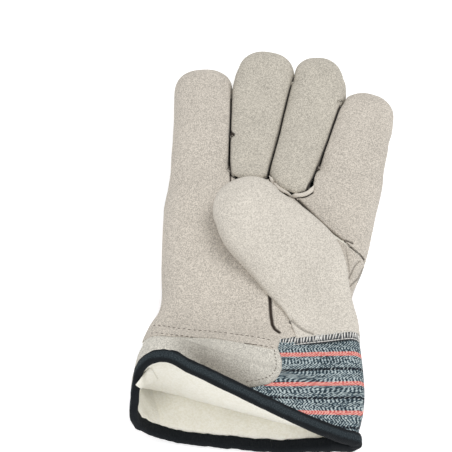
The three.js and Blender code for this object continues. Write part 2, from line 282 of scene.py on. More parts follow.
def paintFoldShade(bm, foldShades, above=8):
    # painted shade, darkest along the given lines such as creases and slits, kept in the fold attribute that
    # the leather's and the lining's materials read
    layer = bm.verts.layers.float.new("fold")
    for vert in bm.verts:
        if vert.co.z < above:
            continue
        for strength, width, path in foldShades:
            far = lineDistance(path, vert.co)
            if far < 1.5 * width:
                vert[layer] = max(vert[layer], strength * (1 - smoothStep(0.5 * width, 1.5 * width, far)))


def finishPiece(name, bm, material, nodes=(), thickness=0, foldShades=()):
    # thickness in mm; nodes are the CAD nodes that the piece stands for
    # painted shade along the given fold lines
    if foldShades:
        paintFoldShade(bm, foldShades)
    mesh = meshFrom(bm, name)
    bm.free()
    mesh.transform(toGlove)
    if "spot" in mesh.attributes:
        mesh.attributes.remove(mesh.attributes["spot"])
    mesh.shade_smooth()
    mesh.materials.append(material)
    piece = bpy.data.objects.new(name, mesh)
    bpy.context.scene.collection.objects.link(piece)
    if thickness:
        wall = piece.modifiers.new("wall", "SOLIDIFY")
        wall.thickness = thickness / 1000
        wall.offset = -1
    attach(piece, "root")
    if nodes:
        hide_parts(*nodes)


def addNode(tree, kind, inputs=None, **settings):
    made = tree.nodes.new(kind)
    for name, value in settings.items():
        setattr(made, name, value)
    for name, value in (inputs or {}).items():
        plug(tree, value, made.inputs[name])
    return made


def plug(tree, value, socket):
    if isinstance(value, bpy.types.NodeSocket):
        tree.links.new(value, socket)
    elif isinstance(value, (tuple, list)) and len(value) == 3 and socket.type == "RGBA":
        socket.default_value = (*value, 1)
    else:
        socket.default_value = value


def mathNode(tree, operation, a, b=0.0):
    return addNode(tree, "ShaderNodeMath", {0: a, 1: b}, operation=operation).outputs[0]


def plus(tree, a, b):
    return mathNode(tree, "ADD", a, b)


def minus(tree, a, b):
    return mathNode(tree, "SUBTRACT", a, b)


def times(tree, a, b):
    return mathNode(tree, "MULTIPLY", a, b)


def swing(tree, value, size):
    # a value from 0 to 1 made to swing about zero
    return times(tree, minus(tree, value, 0.5), size)


def mixColour(tree, amount, a, b, blend="MIX"):
    made = addNode(tree, "ShaderNodeMix", data_type="RGBA", blend_type=blend)
    plug(tree, amount, made.inputs["Factor"])
    plug(tree, a, made.inputs[6])
    plug(tree, b, made.inputs[7])
    return made.outputs[2]


def darkened(tree, amount, colour, tint):
    return mixColour(tree, amount, colour, mixColour(tree, 1.0, colour, tint, "MULTIPLY"))


def noiseAt(tree, vector, scale, detail=2.0, rough=0.5):
    return addNode(tree, "ShaderNodeTexNoise",
                   {"Vector": vector, "Scale": scale, "Detail": detail, "Roughness": rough}).outputs["Fac"]


def spread(tree, value, low, high, toLow=0.0, toHigh=1.0):
    return addNode(tree, "ShaderNodeMapRange", {"Value": value, "From Min": low, "From Max": high,
                   "To Min": toLow, "To Max": toHigh}, interpolation_type="SMOOTHSTEP").outputs["Result"]


def newGroup(name, inputs, outputs):
    group = bpy.data.node_groups.new(name, "ShaderNodeTree")
    for socket, kind, value in inputs:
        made = group.interface.new_socket(name=socket, in_out="INPUT", socket_type="NodeSocket" + kind)
        if value is not None:
            made.default_value = (*value, 1) if kind == "Color" else value
    for socket, kind in outputs:
        group.interface.new_socket(name=socket, in_out="OUTPUT", socket_type="NodeSocket" + kind)
    return group, group.nodes.new("NodeGroupInput").outputs, group.nodes.new("NodeGroupOutput").inputs


# fold is the tint of the painted shade in creases and slits
suede = {
    "speckle": 0.56, "blotch": 0.06, "bump": (0.45, 0.0004), "coarse": 0.42, "shares": (0.74, 0.26),
    "patches": 42.0, "fold": (0.075, 0.06, 0.055),
    "look": {"Roughness": 0.95, "Specular IOR Level": 0.12, "Sheen Weight": 0.05, "Sheen Roughness": 0.6},
}


def suedeGroup():
    # split cowhide: fine speckled nap, very soft blotches, a height for the bump
    group, given, out = newGroup("suedeNap", [
        ("Vector", "Vector", None), ("Colour", "Color", (0.6, 0.55, 0.48)), ("Speckle", "Float", 0.1),
        ("Blotch", "Float", 0.05), ("Grain", "Float", 1600.0)], [("Colour", "Color"), ("Height", "Float")])
    fine = noiseAt(group, given["Vector"], given["Grain"], 1.0)
    coarse = noiseAt(group, given["Vector"], times(group, given["Grain"], suede["coarse"]))
    patches = noiseAt(group, given["Vector"], suede["patches"])
    nap = plus(group, *(times(group, each, share) for each, share in zip((fine, coarse), suede["shares"])))
    centred = minus(group, spread(group, nap, 0.34, 0.66), 0.5)
    mottled = minus(group, spread(group, patches, 0.3, 0.7), 0.5)
    level = plus(group, times(group, centred, given["Speckle"]), times(group, mottled, given["Blotch"]))
    tone = addNode(group, "ShaderNodeVectorMath", {0: given["Colour"], "Scale": plus(group, level, 1.0)},
                   operation="SCALE").outputs[0]
    group.links.new(tone, out["Colour"])
    group.links.new(nap, out["Height"])
    return group


weave = {
    "stripe": (0.060, 0.078), "line": (0.450, 0.466), "dash": 2.3,  # shares of the period, and mm
    "rank": 6.0, "slant": 0.95, "hatch": 0.36, "fleck": 3.4, "cloud": 0.8, "level": 0.47,
    "yarns": ((0.012, 0.024, 0.032, 1), (0.085, 0.130, 0.160, 1), (0.50, 0.57, 0.57, 1)),
    "salmon": ((0.52, 0.085, 0.08), (0.84, 0.42, 0.36)), "black": (0.006, 0.009, 0.014),
    "bump": (0.4, 0.0004), "look": {"Roughness": 0.85, "Specular IOR Level": 0.25},
}


def twillGroup():
    # yarn-dyed herringbone: short slanting yarns that turn at each rank, coloured stripes, fine dark lines
    group, given, out = newGroup("stripedTwill", [
        ("Vector", "Vector", None), ("Period", "Float", 18.0), ("First", "Float", 11.0),
        ("Hatch", "Float", 1.8)], [("Colour", "Color"), ("Height", "Float")])
    parts = addNode(group, "ShaderNodeSeparateXYZ", {0: given["Vector"]}).outputs
    across = plus(group, parts["Y"], swing(group, noiseAt(group, given["Vector"], 0.25), 0.6))
    phase = mathNode(group, "DIVIDE", minus(group, across, given["First"]), given["Period"])
    saw = mathNode(group, "FRACT", plus(group, phase, 100.0))
    stripe = mathNode(group, "ABSOLUTE", minus(group, mathNode(group, "ABSOLUTE", minus(group, saw, 0.5)), 0.5))
    fleck = noiseAt(group, given["Vector"], 0.85, 2.0, 0.7)
    stripeMask = spread(group, plus(group, stripe, swing(group, fleck, 0.02)), *weave["stripe"], 1.0, 0.0)
    dashes = mathNode(group, "SINE", times(group, parts["X"], 2 * math.pi / weave["dash"]))
    lineMask = times(group, spread(group, stripe, *weave["line"]), spread(group, dashes, -0.9, -0.3, 0.3, 1.0))
    rank = mathNode(group, "FRACT", plus(group, mathNode(group, "DIVIDE", across, weave["rank"]), 100.25))
    slant = times(group, mathNode(group, "ABSOLUTE", minus(group, rank, 0.5)), weave["rank"] * weave["slant"])
    yarn = mathNode(group, "DIVIDE", plus(group, parts["X"], slant), given["Hatch"])
    hatch = mathNode(group, "SINE", times(group, yarn, 2 * math.pi))
    light = plus(group, times(group, hatch, weave["hatch"]), swing(group, fleck, weave["fleck"]))
    light = plus(group, light, swing(group, noiseAt(group, given["Vector"], 0.10), weave["cloud"]))
    amount = spread(group, plus(group, light, weave["level"]), 0.0, 1.0)
    ramp = addNode(group, "ShaderNodeValToRGB", {0: amount})
    steps = ramp.color_ramp.elements
    steps[0].color, steps[1].color = weave["yarns"][0], weave["yarns"][2]
    steps.new(0.5).color = weave["yarns"][1]
    thread = plus(group, fleck, times(group, hatch, 0.12))
    salmon = mixColour(group, spread(group, thread, 0.3, 0.7), *weave["salmon"])
    cloth = mixColour(group, lineMask, ramp.outputs[0], weave["black"])
    group.links.new(mixColour(group, stripeMask, cloth, salmon), out["Colour"])
    group.links.new(plus(group, times(group, hatch, 0.5), fleck), out["Height"])
    return group


suedeNap = suedeGroup()
stripedTwill = twillGroup()


def startMaterial(name, coords="Object"):
    material = bpy.data.materials.new(name)
    material.use_nodes = True
    tree = material.node_tree
    shader = tree.nodes["Principled BSDF"]
    if coords == "Object":
        vector = tree.nodes.new("ShaderNodeTexCoord").outputs["Object"]
    else:
        vector = addNode(tree, "ShaderNodeUVMap", uv_map=coords).outputs["UV"]
    return material, tree, shader, vector


def dress(tree, shader, colour, height, bump, look):
    # colour, bump (strength and distance) and the shader's plain values
    made = addNode(tree, "ShaderNodeBump", {"Strength": bump[0], "Distance": bump[1], "Height": height})
    tree.links.new(made.outputs["Normal"], shader.inputs["Normal"])
    tree.links.new(colour, shader.inputs["Base Color"])
    for socket, value in look.items():
        shader.inputs[socket].default_value = value


def leather(name, colour, speckle=suede["speckle"], shade=None):
    material, tree, shader, vector = startMaterial(name)
    nap = addNode(tree, "ShaderNodeGroup", {"Vector": vector, "Colour": colour, "Speckle": speckle,
                  "Blotch": suede["blotch"]}, node_tree=suedeNap).outputs
    # painted shade in creases and slits, from the fold attribute
    fold = addNode(tree, "ShaderNodeAttribute", attribute_name="fold").outputs["Fac"]
    tone = darkened(tree, fold, nap["Colour"], suede["fold"])
    # painted shade: darker towards the rim, where the patch dips to the tape
    if shade:
        parts = addNode(tree, "ShaderNodeSeparateXYZ", {0: vector}).outputs
        run = plus(tree, times(tree, parts["X"], shade["across"]), times(tree, parts["Y"], shade["along"]))
        amount = times(tree, spread(tree, run, *shade["fade"], 1.0, 0.0),
                       spread(tree, parts["X"], *shade["left"]))
        tone = darkened(tree, amount, tone, shade["dark"])
    dress(tree, shader, tone, nap["Height"], suede["bump"], suede["look"])
    return material


def twill(name, period, first):
    material, tree, shader, vector = startMaterial(name, "cloth")
    cloth = addNode(tree, "ShaderNodeGroup", {"Vector": vector, "Period": period, "First": first},
                    node_tree=stripedTwill).outputs
    dress(tree, shader, cloth["Colour"], cloth["Height"], weave["bump"], weave["look"])
    return material


def tapeMaterial(name):
    # black at its folds, slate where the weave catches the light
    material, tree, shader, vector = startMaterial(name, "cloth")
    parts = addNode(tree, "ShaderNodeSeparateXYZ", {0: vector}).outputs
    ribs = mathNode(tree, "SINE", times(tree, parts["X"], 2 * math.pi / 1.1))
    lint = noiseAt(tree, vector, 1.9, 2.0, 0.6)
    wander = plus(tree, parts["Y"], times(tree, noiseAt(tree, vector, 0.12), 2.4))
    # painted highlight: a slate band along the middle of the tape
    paintedSheen = times(tree, spread(tree, wander, 2.6, 4.4), spread(tree, wander, 6.6, 8.6, 1.0, 0.0))
    slate = mixColour(tree, spread(tree, lint, 0.40, 0.68), (0.014, 0.019, 0.023), (0.050, 0.066, 0.075))
    black = mixColour(tree, lint, (0.0035, 0.0045, 0.006), (0.014, 0.017, 0.020))
    dress(tree, shader, mixColour(tree, paintedSheen, black, slate), plus(tree, times(tree, ribs, 0.35), lint),
          (0.5, 0.0003), {"Roughness": 0.8, "Specular IOR Level": 0.12})
    return material


def fleeceMaterial(name):
    material, tree, shader, vector = startMaterial(name)
    fuzz = noiseAt(tree, vector, 800.0, 3.0, 0.65)
    lumps = noiseAt(tree, vector, 160.0)
    both = plus(tree, times(tree, fuzz, 0.75), times(tree, lumps, 0.25))
    pile = mixColour(tree, spread(tree, both, 0.34, 0.64), (0.88, 0.85, 0.74), (0.96, 0.94, 0.86))
    # painted shade on the lining's hanging part, from the fold attribute
    fold = addNode(tree, "ShaderNodeAttribute", attribute_name="fold").outputs["Fac"]
    dress(tree, shader, mixColour(tree, fold, pile, (0, 0, 0)), both, (0.35, 0.0009),
          {"Roughness": 1.0, "Specular IOR Level": 0.1, "Sheen Weight": 0.1})
    return material


def threadMaterial(name, dark, light):
    material, tree, shader, vector = startMaterial(name)
    strand = noiseAt(tree, vector, 1600.0)
    dress(tree, shader, mixColour(tree, spread(tree, strand, 0.35, 0.65), dark, light), strand,
          (0.4, 0.0002), {"Roughness": 0.7})
    return material


# Painted shade: the patch is darkened towards the rim, where it dips to the tape, except at its far left.
patchShade = {"across": 0.4655, "along": 0.885, "fade": (-0.1150, -0.0858), "left": (-0.066, -0.036),
              "dark": (0.36, 0.345, 0.325)}
palmLeather = leather("palmSuede", (0.548, 0.503, 0.442))
fingerLeather = leather("fingerSuede", (0.508, 0.473, 0.408))
# painted light: the thumb's suede is paler than the palm's, as the raised thumb catches more light
thumbLeather = leather("thumbSuede", (0.612, 0.572, 0.508), speckle=0.42)
patchLeather = leather("patchSuede", (0.600, 0.575, 0.515), shade=patchShade)
backLeather = leather("backSuede", (0.560, 0.512, 0.445))
weltLeather = leather("weltSuede", (0.690, 0.640, 0.570), speckle=0.2)
handTwill = twill("handTwill", 17.0, 4.0)
cuffTwill = twill("cuffTwill", 17.9, 11.0)
blackTape = tapeMaterial("bindingTape")
fleece = fleeceMaterial("liningFleece")
darkThread = threadMaterial("darkThread", (0.10, 0.085, 0.07), (0.20, 0.17, 0.14))
paleThread = threadMaterial("paleThread", (0.52, 0.51, 0.48), (0.80, 0.79, 0.76))
slateThread = threadMaterial("slateThread", (0.016, 0.020, 0.024), (0.07, 0.08, 0.09))
print("materials ready")


# Sections from the rim to the finger roots: y, lean along Y as it rises, then three pegs that the
# skin is drawn round (left x and radius, crown x, z and radius, right x and radius).
hand = {
    "rows": [
        (-59, .45, -72.6, 29, -55, 48, 17, 54.4, 7.6), (-47, .43, -71.4, 26.4, -52, 43.4, 16.6, 57.8, 7.7),
        (-31, .2, -68.5, 20, -42, 33, 14, 58.8, 7.8), (0, 0, -62, 11, -22, 14.4, 12.4, 56.6, 10.3),
        (15, 0, -60.8, 10.6, -8, 13.8, 11.8, 53, 10), (30, 0, -60.4, 11, 0, 14.6, 12.6, 53.4, 10.3),
        (50, 0, -60.4, 11.4, 0, 15.4, 13.4, 61.5, 11), (88, -.1, -59.4, 11.8, 2, 15.6, 13.6, 69.8, 11.4),
        (108, -.4, -57.2, 11.6, 6, 14.9, 12.9, 73.6, 11.4),
        (133, -.95, -54.8, 11.2, 10, 13.6, 11.6, 75.6, 11.2),
    ],
    # where the left side really runs (y, x)
    "left": [(-59, -74.3), (-47, -74.2), (-31, -73.6), (-15, -72.3), (-5, -70.0), (4, -67.6), (11, -65.3),
             (17, -62.3), (24, -60.2), (34, -59.8), (50, -60.4), (88, -59.4), (108, -57.2), (133, -54.8)],
    "backZ": 1.9, "voxel": 1.15, "smooth": 8, "around": 150, "rings": [*range(-34, 133, 2), 133], "shell": 1.6,
    "sideSeam": (12.6, 4.4), "seamDrops": (98, 126), "seamGap": 0.2,
    "wristMiddle": -4.5, "wristRise": 8, "wristHalf": 60, "floor": 0.3,
}

# Fingers: x, y, width, thickness, height of the underside, from the root to where the tip's dome starts
fingers = {
    "little": [(-38.8, 88, 34, 19, 3.5), (-36.1, 120, 38.6, 23, 2.6), (-35.2, 146, 38.4, 23.4, 1),
               (-35.0, 166, 38.2, 23, 0.3), (-35.6, 175.5, 37.2, 22.4, 0.3)],
    "ring": [(-7.6, 110, 27, 27.4, 2.8), (-7.4, 114, 29, 26.8, 2.7), (-6.4, 124, 31.8, 25.2, 2.6),
             (-3.2, 146, 35.6, 23.4, 1), (-0.4, 168, 38.6, 23.4, 0.3), (2.6, 184, 37.4, 22.8, 0.3),
             (3.6, 188.5, 36, 22.6, 0.3)],
    "middle": [(17.4, 103.5, 29, 27.6, 2.8), (18.6, 109, 30.4, 27.2, 2.8), (22.2, 124, 32.4, 25.2, 2.6),
               (28.6, 146, 34.4, 23.4, 1), (35.1, 168, 36.4, 23.4, 0.3), (36.8, 178, 34.7, 22.8, 0.3),
               (36.6, 181.5, 32.5, 22.6, 0.3)],
    "index": [(49.5, 88, 34, 19, 3.5), (55.4, 120, 40.4, 23, 2.6), (59.3, 134, 38.8, 23.4, 1.6),
              (61.6, 142.5, 37.0, 23.2, 0.8), (62.8, 147, 37.2, 23, 0.3), (63.8, 150.5, 37.8, 23, 0.3),
              (65.6, 157, 36.0, 22.4, 0.3)],
}
fingerSkin = {
    "power": 2.9, "domePower": 2.03, "step": 1.2, "around": 90, "ends": 26, "tipCap": 31, "capGap": 1.5,
    "tip": {"little": 17, "ring": 17, "middle": 20, "index": 17},
    "root": {"ring": 12, "middle": 17}, "rootPower": {"ring": 4.5, "middle": 2.6}, "rootTall": 0.08,
    "indexBack": (35.6, 127), "littleSide": -12, "frontInset": 6.0, "backInset": 4.0, "rootLap": 0.8,
}
# Lines where neighbouring fingers press together (x, y)
contacts = {
    "littleRing": [(-18.9, 100), (-18.9, 108), (-19.5, 117.2), (-19.4, 131.6), (-18.9, 140.8), (-18.5, 157.4),
                   (-18.3, 174.3), (-16.0, 190), (-14, 215)],
    "ringMiddle": [(2.0, 98), (4.0, 108), (4.9, 112.6), (7.7, 124.4), (11, 139), (14.3, 155.6), (18.5, 174.3),
                   (21.2, 184.7), (24, 200), (26, 215)],
    "middleIndex": [(26, 92), (28, 98), (31, 104.6), (33.5, 111.8), (37.2, 122.6), (40.9, 133.5),
                    (44.7, 146.3), (48.6, 158.3), (52.3, 165.8), (58, 180), (68, 215)],
}
pressed = {"little": (None, "littleRing"), "ring": ("littleRing", "ringMiddle"),
           "middle": ("ringMiddle", "middleIndex"), "index": ("middleIndex", None)}
press = {"soft": 1.4, "overlap": 0.9, "groove": 1.2, "rises": (10, 20)}


def pressSides(bm, name, fromY=104, blend=12):
    # flattens a finger where it touches its neighbours; a fine groove stays open on top
    soft = press["soft"]
    for line, sign in zip(pressed[name], (1, -1)):
        if line is None:
            continue
        xs, ys = zip(*contacts[line])
        for vert in bm.verts:
            elsewhere = (name == "little" and vert.co.x > 0) or (name == "index" and vert.co.x < 20)
            if elsewhere or vert.co.y < fromY - blend:
                continue
            far = (vert.co.x - float(np.interp(vert.co.y, ys, xs))) * sign
            gap = press["groove"] * smoothStep(*press["rises"], vert.co.z) - press["overlap"]
            if far < gap + soft:
                wanted = gap + soft * math.exp((far - gap - soft) / soft)
                vert.co.x += sign * (wanted - far) * smoothStep(fromY - blend, fromY, vert.co.y)


def handRow(y):
    values = between(hand["rows"], y)
    values[1] = between(hand["left"], y)[0]
    return (y, *values)


def handRing(row, count, grow=0.0):
    y, lean, leftX, leftR, crownX, crownZ, crownR, rightX, rightR = row
    z = hand["backZ"]
    flat = pegOutline([(leftX + leftR, z + leftR, leftR + grow),
                       (rightX - rightR, z + rightR, max(rightR + grow, 0.8)),
                       (crownX, crownZ, crownR + grow)], count)
    return np.stack([flat[:, 0], y + lean * flat[:, 1], flat[:, 1]], 1)


def wristY(x):
    return hand["wristMiddle"] + hand["wristRise"] * (x / hand["wristHalf"]) ** 2


def sideSeamZ(y):
    high, low = hand["sideSeam"]
    return high + (low - high) * smoothStep(*hand["seamDrops"], y)


def palmSide(co):
    return co.z - sideSeamZ(co.y) - hand["seamGap"]


def backSide(co):
    return sideSeamZ(co.y) - hand["seamGap"] - co.z


def pastWrist(co):
    return co.y - wristY(co.x)


def domeSteps(count, power, reach):
    # the rings of a rounded end: how small each is, and how far beyond the end it lies
    turns = [i / count * math.pi / 2 for i in range(1, count)]
    return [(math.cos(t) ** (2 / power), math.sin(t) ** (2 / power) * reach) for t in turns]


def fingerTube(name):
    # a finger with a rounded tip, and a rounded root where it is set into the palm
    rows, ends = fingers[name], fingerSkin["ends"]
    lengths = [0]
    for a, b in zip(rows, rows[1:]):
        lengths.append(lengths[-1] + math.hypot(b[0] - a[0], b[1] - a[1]))
    keyed = [(s, *row) for s, row in zip(lengths, rows)]
    total = lengths[-1]
    count = round(total / fingerSkin["step"])
    stations = [(total * i / count, 1.0, 0.0) for i in range(count + 1)]
    if name in fingerSkin["root"]:
        steps = domeSteps(ends, fingerSkin["rootPower"][name], -fingerSkin["root"][name])
        stations = [(0, *step) for step in reversed(steps)] + stations
    stations += [(total, *step) for step in domeSteps(ends, fingerSkin["domePower"], fingerSkin["tip"][name])]
    rings = []
    for s, scale, beyond in stations:
        x, y, width, thick, under = between(keyed, s)
        ahead, behind = between(keyed, min(total, s + 1)), between(keyed, max(0, s - 1))
        heading = math.atan2(ahead[1] - behind[1], ahead[0] - behind[0])
        tallScale = scale if beyond >= 0 else scale ** fingerSkin["rootTall"]
        wide, tall = superOval(width / 2 * scale, thick / 2 * tallScale,
                               fingerSkin["power"], fingerSkin["around"])
        rings.append(np.stack([x + beyond * math.cos(heading) + wide * math.sin(heading),
                               y + beyond * math.sin(heading) - wide * math.cos(heading),
                               under + thick / 2 + tall], 1))
    return rings


bodyShape = closeTube(sheetGrid([handRing(handRow(y), hand["around"]) for y in hand["rings"]]))
tubes = {name: closeTube(sheetGrid(fingerTube(name))) for name in fingers}
for name in ("ring", "middle"):
    pressSides(tubes[name], name)

# The thumb: matching points on its left fold and right edge as it rises over the palm, each with
# half its thickness there
thumb = {
    "edges": [
        ((19.6, -10, 24.4), 2.2, (56.6, -12, 12.6), 10.2), ((18.4, -1.2, 24.5), 2.4, (56.6, -1, 13.4), 10.6),
        ((17.0, 3.0, 24.7), 2.7, (56.4, 5.2, 14.2), 10.8), ((15.4, 8.0, 25), 3, (55.6, 12.2, 15.4), 11),
        ((12.2, 13.2, 25.6), 3.6, (53.6, 19.4, 18), 11.4), ((8.4, 17.8, 26.4), 4.4, (51.6, 25.6, 22), 11.8),
        ((4.3, 22.2, 27.4), 5.2, (50.2, 32.8, 26.5), 12), ((-0.6, 27.2, 29.2), 6.4, (48.4, 42.9, 31.5), 12.2),
        ((-5.4, 32.8, 31.2), 7.8, (45.2, 51.9, 34.2), 12.2), ((-10.6, 38.4, 33.2), 9, (40.2, 59.2, 36.4), 12.1),
        ((-16.0, 44.2, 35.2), 10, (33.2, 66.2, 37.6), 12),
        ((-20.8, 50.0, 37.0), 10.8, (25.3, 73.2, 38.4), 11.9),
        ((-25.0, 57.6, 38.6), 11.3, (17.4, 79.2, 39), 11.8),
        ((-27.8, 65.6, 39.6), 11.5, (10.6, 84.2, 39.6), 11.7),
    ],
    "rings": 100, "ends": 28, "power": 2.7, "dome": 20.2, "domePower": 1.95, "around": 120,
    "inset": 2.0,  # how far it runs into the hand
}


def thumbRings():
    rows = [(i, *left, leftHalf, *right, rightHalf)
            for i, (left, leftHalf, right, rightHalf) in enumerate(thumb["edges"])]
    last = len(rows) - 1
    stations = [(last * i / thumb["rings"], 1.0, 0.0) for i in range(thumb["rings"] + 1)]
    stations += [(last, *step) for step in domeSteps(thumb["ends"], thumb["domePower"], thumb["dome"])]
    wide, tall = superOval(1, 1, thumb["power"], thumb["around"])
    rings = []
    for at, scale, beyond in stations:
        values = between(rows, at)
        left, leftHalf, right, rightHalf = Vector(values[:3]), values[3], Vector(values[4:7]), values[7]
        side = (right - left) / 2
        centre = (left + right) / 2 + Vector((0, 0, 1)).cross(side).normalized() * beyond
        ring = []
        for w, t in zip(wide, tall):
            half = (leftHalf + (rightHalf - leftHalf) * (w * scale + 1) / 2) * scale
            ring.append(centre + side * (w * scale) + Vector((0, 0, t * half)))
        rings.append(ring)
    return rings


thumbShape = closeTube(sheetGrid(thumbRings()))
body = remeshed([meshFrom(shape) for shape in (bodyShape, tubes["little"], tubes["index"])],
                hand["voxel"], hand["smooth"])
for name in ("little", "index"):
    pressSides(body, name, fromY=112, blend=1.5)
shapes = {"body": body, "ring": tubes["ring"], "middle": tubes["middle"], "thumb": thumbShape}
print("body has", len(body.verts), "points")

# Creases and dents in the leather: depth, width and course
creases = {
    "body": [
        (1.2, 0.95, [(3.6, 27), (4.1, 21.8), (4.3, 16.1), (4.5, 12), (5.3, 5.5), (6.7, 2.3), (9.2, 0.2)]),
        (3.0, 0.75, [(7.3, 101.4), (13.9, 95.4), (18.4, 91.0), (23.6, 85.9), (30.4, 78.3), (37.4, 70.7),
                     (43.2, 65.2), (47.6, 61.6)]),
        (1.0, 0.6, [(47.7, 61.9), (50.4, 61.4), (53.7, 60.0)]),
        (1.0, 0.6, [(47.7, 61.6), (53.2, 56.7), (56.8, 54.2), (60.4, 52.4)]),
        (0.7, 0.5, [(57.6, 49.6), (54.2, 45.0), (50.7, 37.3)]),
        (0.7, 0.5, [(60.0, 47.8), (56.6, 40.6), (51.0, 32.9)]),
        (0.4, 0.5, [(49.4, 56.3), (50.4, 48.5), (51.2, 40.5)]),
        (0.7, 5.0, [(-30, 40), (-26, 20), (-12, 8)]),
        (0.6, 5.0, [(-46, 118), (-40, 122)]),
        (0.5, 6.0, [(-22, 96), (-2, 98), (6, 92)]),
    ],
    # the ring's first line has no depth and only guides the painted shadow in its notch
    "ring": [(0.0, 0.9, [(-19.4, 142.4), (-18.6, 139.8), (-17.7, 137.4)]),
             (1.0, 2.0, [(-17.2, 136), (-14.2, 133)]), (1.3, 4.5, [(-7.5, 147), (-5, 149)]),
             (1.3, 2.2, [(-4.8, 130), (-5.2, 120), (-7.3, 112)]), (1.0, 3.4, [(-13, 113), (-2, 114)])],
    "middle": [(1.2, 0.8, [(52, 164.5), (48.5, 162.8)]), (0.5, 5, [(36, 172), (33, 160)])],
    "thumb": [(1.1, 0.9, [(16.4, 7.6), (20.5, 3.2), (24.5, 0.6), (28.5, -0.8)]), (0.8, 6, [(34, 8), (20, 34)])],
}
meets = {"body": ("littleRing", "middleIndex"), "ring": ("littleRing", "ringMiddle"),
         "middle": ("ringMiddle", "middleIndex"), "thumb": ()}
# Unevenness of the leather: broad and fine height, and seed
uneven = {"body": (0.5, 0.2, 3.1), "ring": (0.4, 0.15, 5.3), "middle": (0.4, 0.15, 8.9),
          "thumb": (0.45, 0.12, 9.3)}


def refine(bm, paths, reach, rounds):
    # more points beside the creases, so that they stay crisp
    for _ in range(rounds):
        near = {v for v in bm.verts if v.co.z > 8 and any(lineDistance(path, v.co) < reach for path in paths)}
        edges = [e for e in bm.edges if e.verts[0] in near and e.verts[1] in near]
        bmesh.ops.subdivide_edges(bm, edges=edges, cuts=1, use_grid_fill=True)
        reach *= 0.75


def workLeather(name):
    bm, (broad, fine, seed) = shapes[name], uneven[name]
    refine(bm, [path for _, width, path in creases[name] if width < 1], 2.6, 2)
    refine(bm, [contacts[line] for line in meets[name]], 1.8, 2)

    def change(co, normal):
        amount = broad * waves(co, 30, seed) + fine * waves(co, 9, seed + 4)
        if normal.z > 0.05:
            for depth, width, path in creases[name]:
                far = lineDistance(path, co)
                if far < width * 3:
                    amount -= depth * math.exp(-(far / width) ** 2)
        return amount
    pushAlong(bm, change)
    if name != "thumb":  # the others lie on the floor
        for vert in bm.verts:
            vert.co.z = max(vert.co.z, hand["floor"])


for name in shapes:
    workLeather(name)

# Painted shadow in the slits and creases: strength, width and course; the slits between the fingers end at
# these heights
slits = {}
for name, top in (("littleRing", 169), ("ringMiddle", 184), ("middleIndex", 161)):
    x = between([(y, x) for x, y in contacts[name]], top)[0]
    slits[name] = [p for p in contacts[name] if p[1] < top] + [(x, top)]
bodyLineShades = ((1.0, 1.0), (0.9, 0.7), (0.8, 0.5), (0.85, 0.55), (0.45, 0.4), (0.5, 0.4), (0.25, 0.4))
foldShades = {
    "palm": [(0.95, 0.55, slits["littleRing"]), (0.95, 0.6, slits["middleIndex"])]
            + [(*line, crease[2]) for line, crease in zip(bodyLineShades, creases["body"])],
    "ring": [(0.95, 0.55, slits["littleRing"]), (0.95, 0.5, slits["ringMiddle"]),
             (1.0, 0.8, creases["ring"][0][2])],
    "middle": [(0.95, 0.5, slits["ringMiddle"]), (0.95, 0.6, slits["middleIndex"])],
    "thumb": [(0.45, 0.6, creases["thumb"][0][2])],
}
trees = {name: treeOf(shape) for name, shape in shapes.items()}
print("shared shapes ready")

# Lines in plan where the ring and the middle finger are set into the palm
roots = {
    "ring": [(-40, 107.6), (-19.1, 107.4), (-14.3, 103.9), (-10, 103.4), (-4, 103.2), (1, 103.8),
             (3.6, 105.4), (30, 106)],
    "middle": [(-20, 109.5), (4.0, 109.3), (6.6, 102.4), (10, 98), (14, 95), (20.1, 92.4), (26.2, 94.6),
               (29.4, 97.6), (32, 104), (60, 106)],
    "welt": [(4.6, 105.6), (8.6, 98.6), (12, 94.8), (16, 92.2), (20.4, 90.8), (25.6, 91.8), (29.4, 94.6),
             (31.4, 98.6)],
}
socket = ([p for p in reversed(contacts["littleRing"]) if p[1] > 107.5] + roots["ring"][1:6]
          + [(4.4, 104.6), (5.8, 100.8), (8.6, 97), (12, 93.4), (16, 90.8), (20.4, 89.4), (26.4, 90.6),
             (30.6, 93.6), (31.6, 104.6)]
          + [p for p in contacts["middleIndex"] if p[1] > 105])
socketSide = pathField(socket)
rootSide = {name: pathField(roots[name]) for name in ("ring", "middle")}

# The palm's leather laps over the cuff patch on the left, and ends at the overlocked seam on the right.
palm = {"lapLeft": (-64.6, -2.4), "lapRight": (6.3, -13.6), "lapEnd": (7.5, 10), "raise": 1.8, "gap": 0.45,
        "socketGap": 0.22, "socketLap": 0.8, "underThumb": 3.0}
gussetSeam = {"side": 44, "top": 61, "slope": 0.76, "topX": 48.3}


def palmEdgeY(x):
    (xa, ya), (xb, yb) = palm["lapLeft"], palm["lapRight"]
    lap = ya + (yb - ya) * (max(x, xa) - xa) / (xb - xa)
    t = smoothStep(*palm["lapEnd"], x)
    return lap * (1 - t) + wristY(x) * t


def gussetField(co):
    # positive inside the corner under the thumb's root
    top = gussetSeam["top"] - gussetSeam["slope"] * (co.x - gussetSeam["topX"])
    return min(co.x - gussetSeam["side"], top - co.y)


def clearOfFingers(co):
    if co.y < 85:
        return 10
    return min(signedDistance(trees["ring"], co), signedDistance(trees["middle"], co)) - palm["gap"]


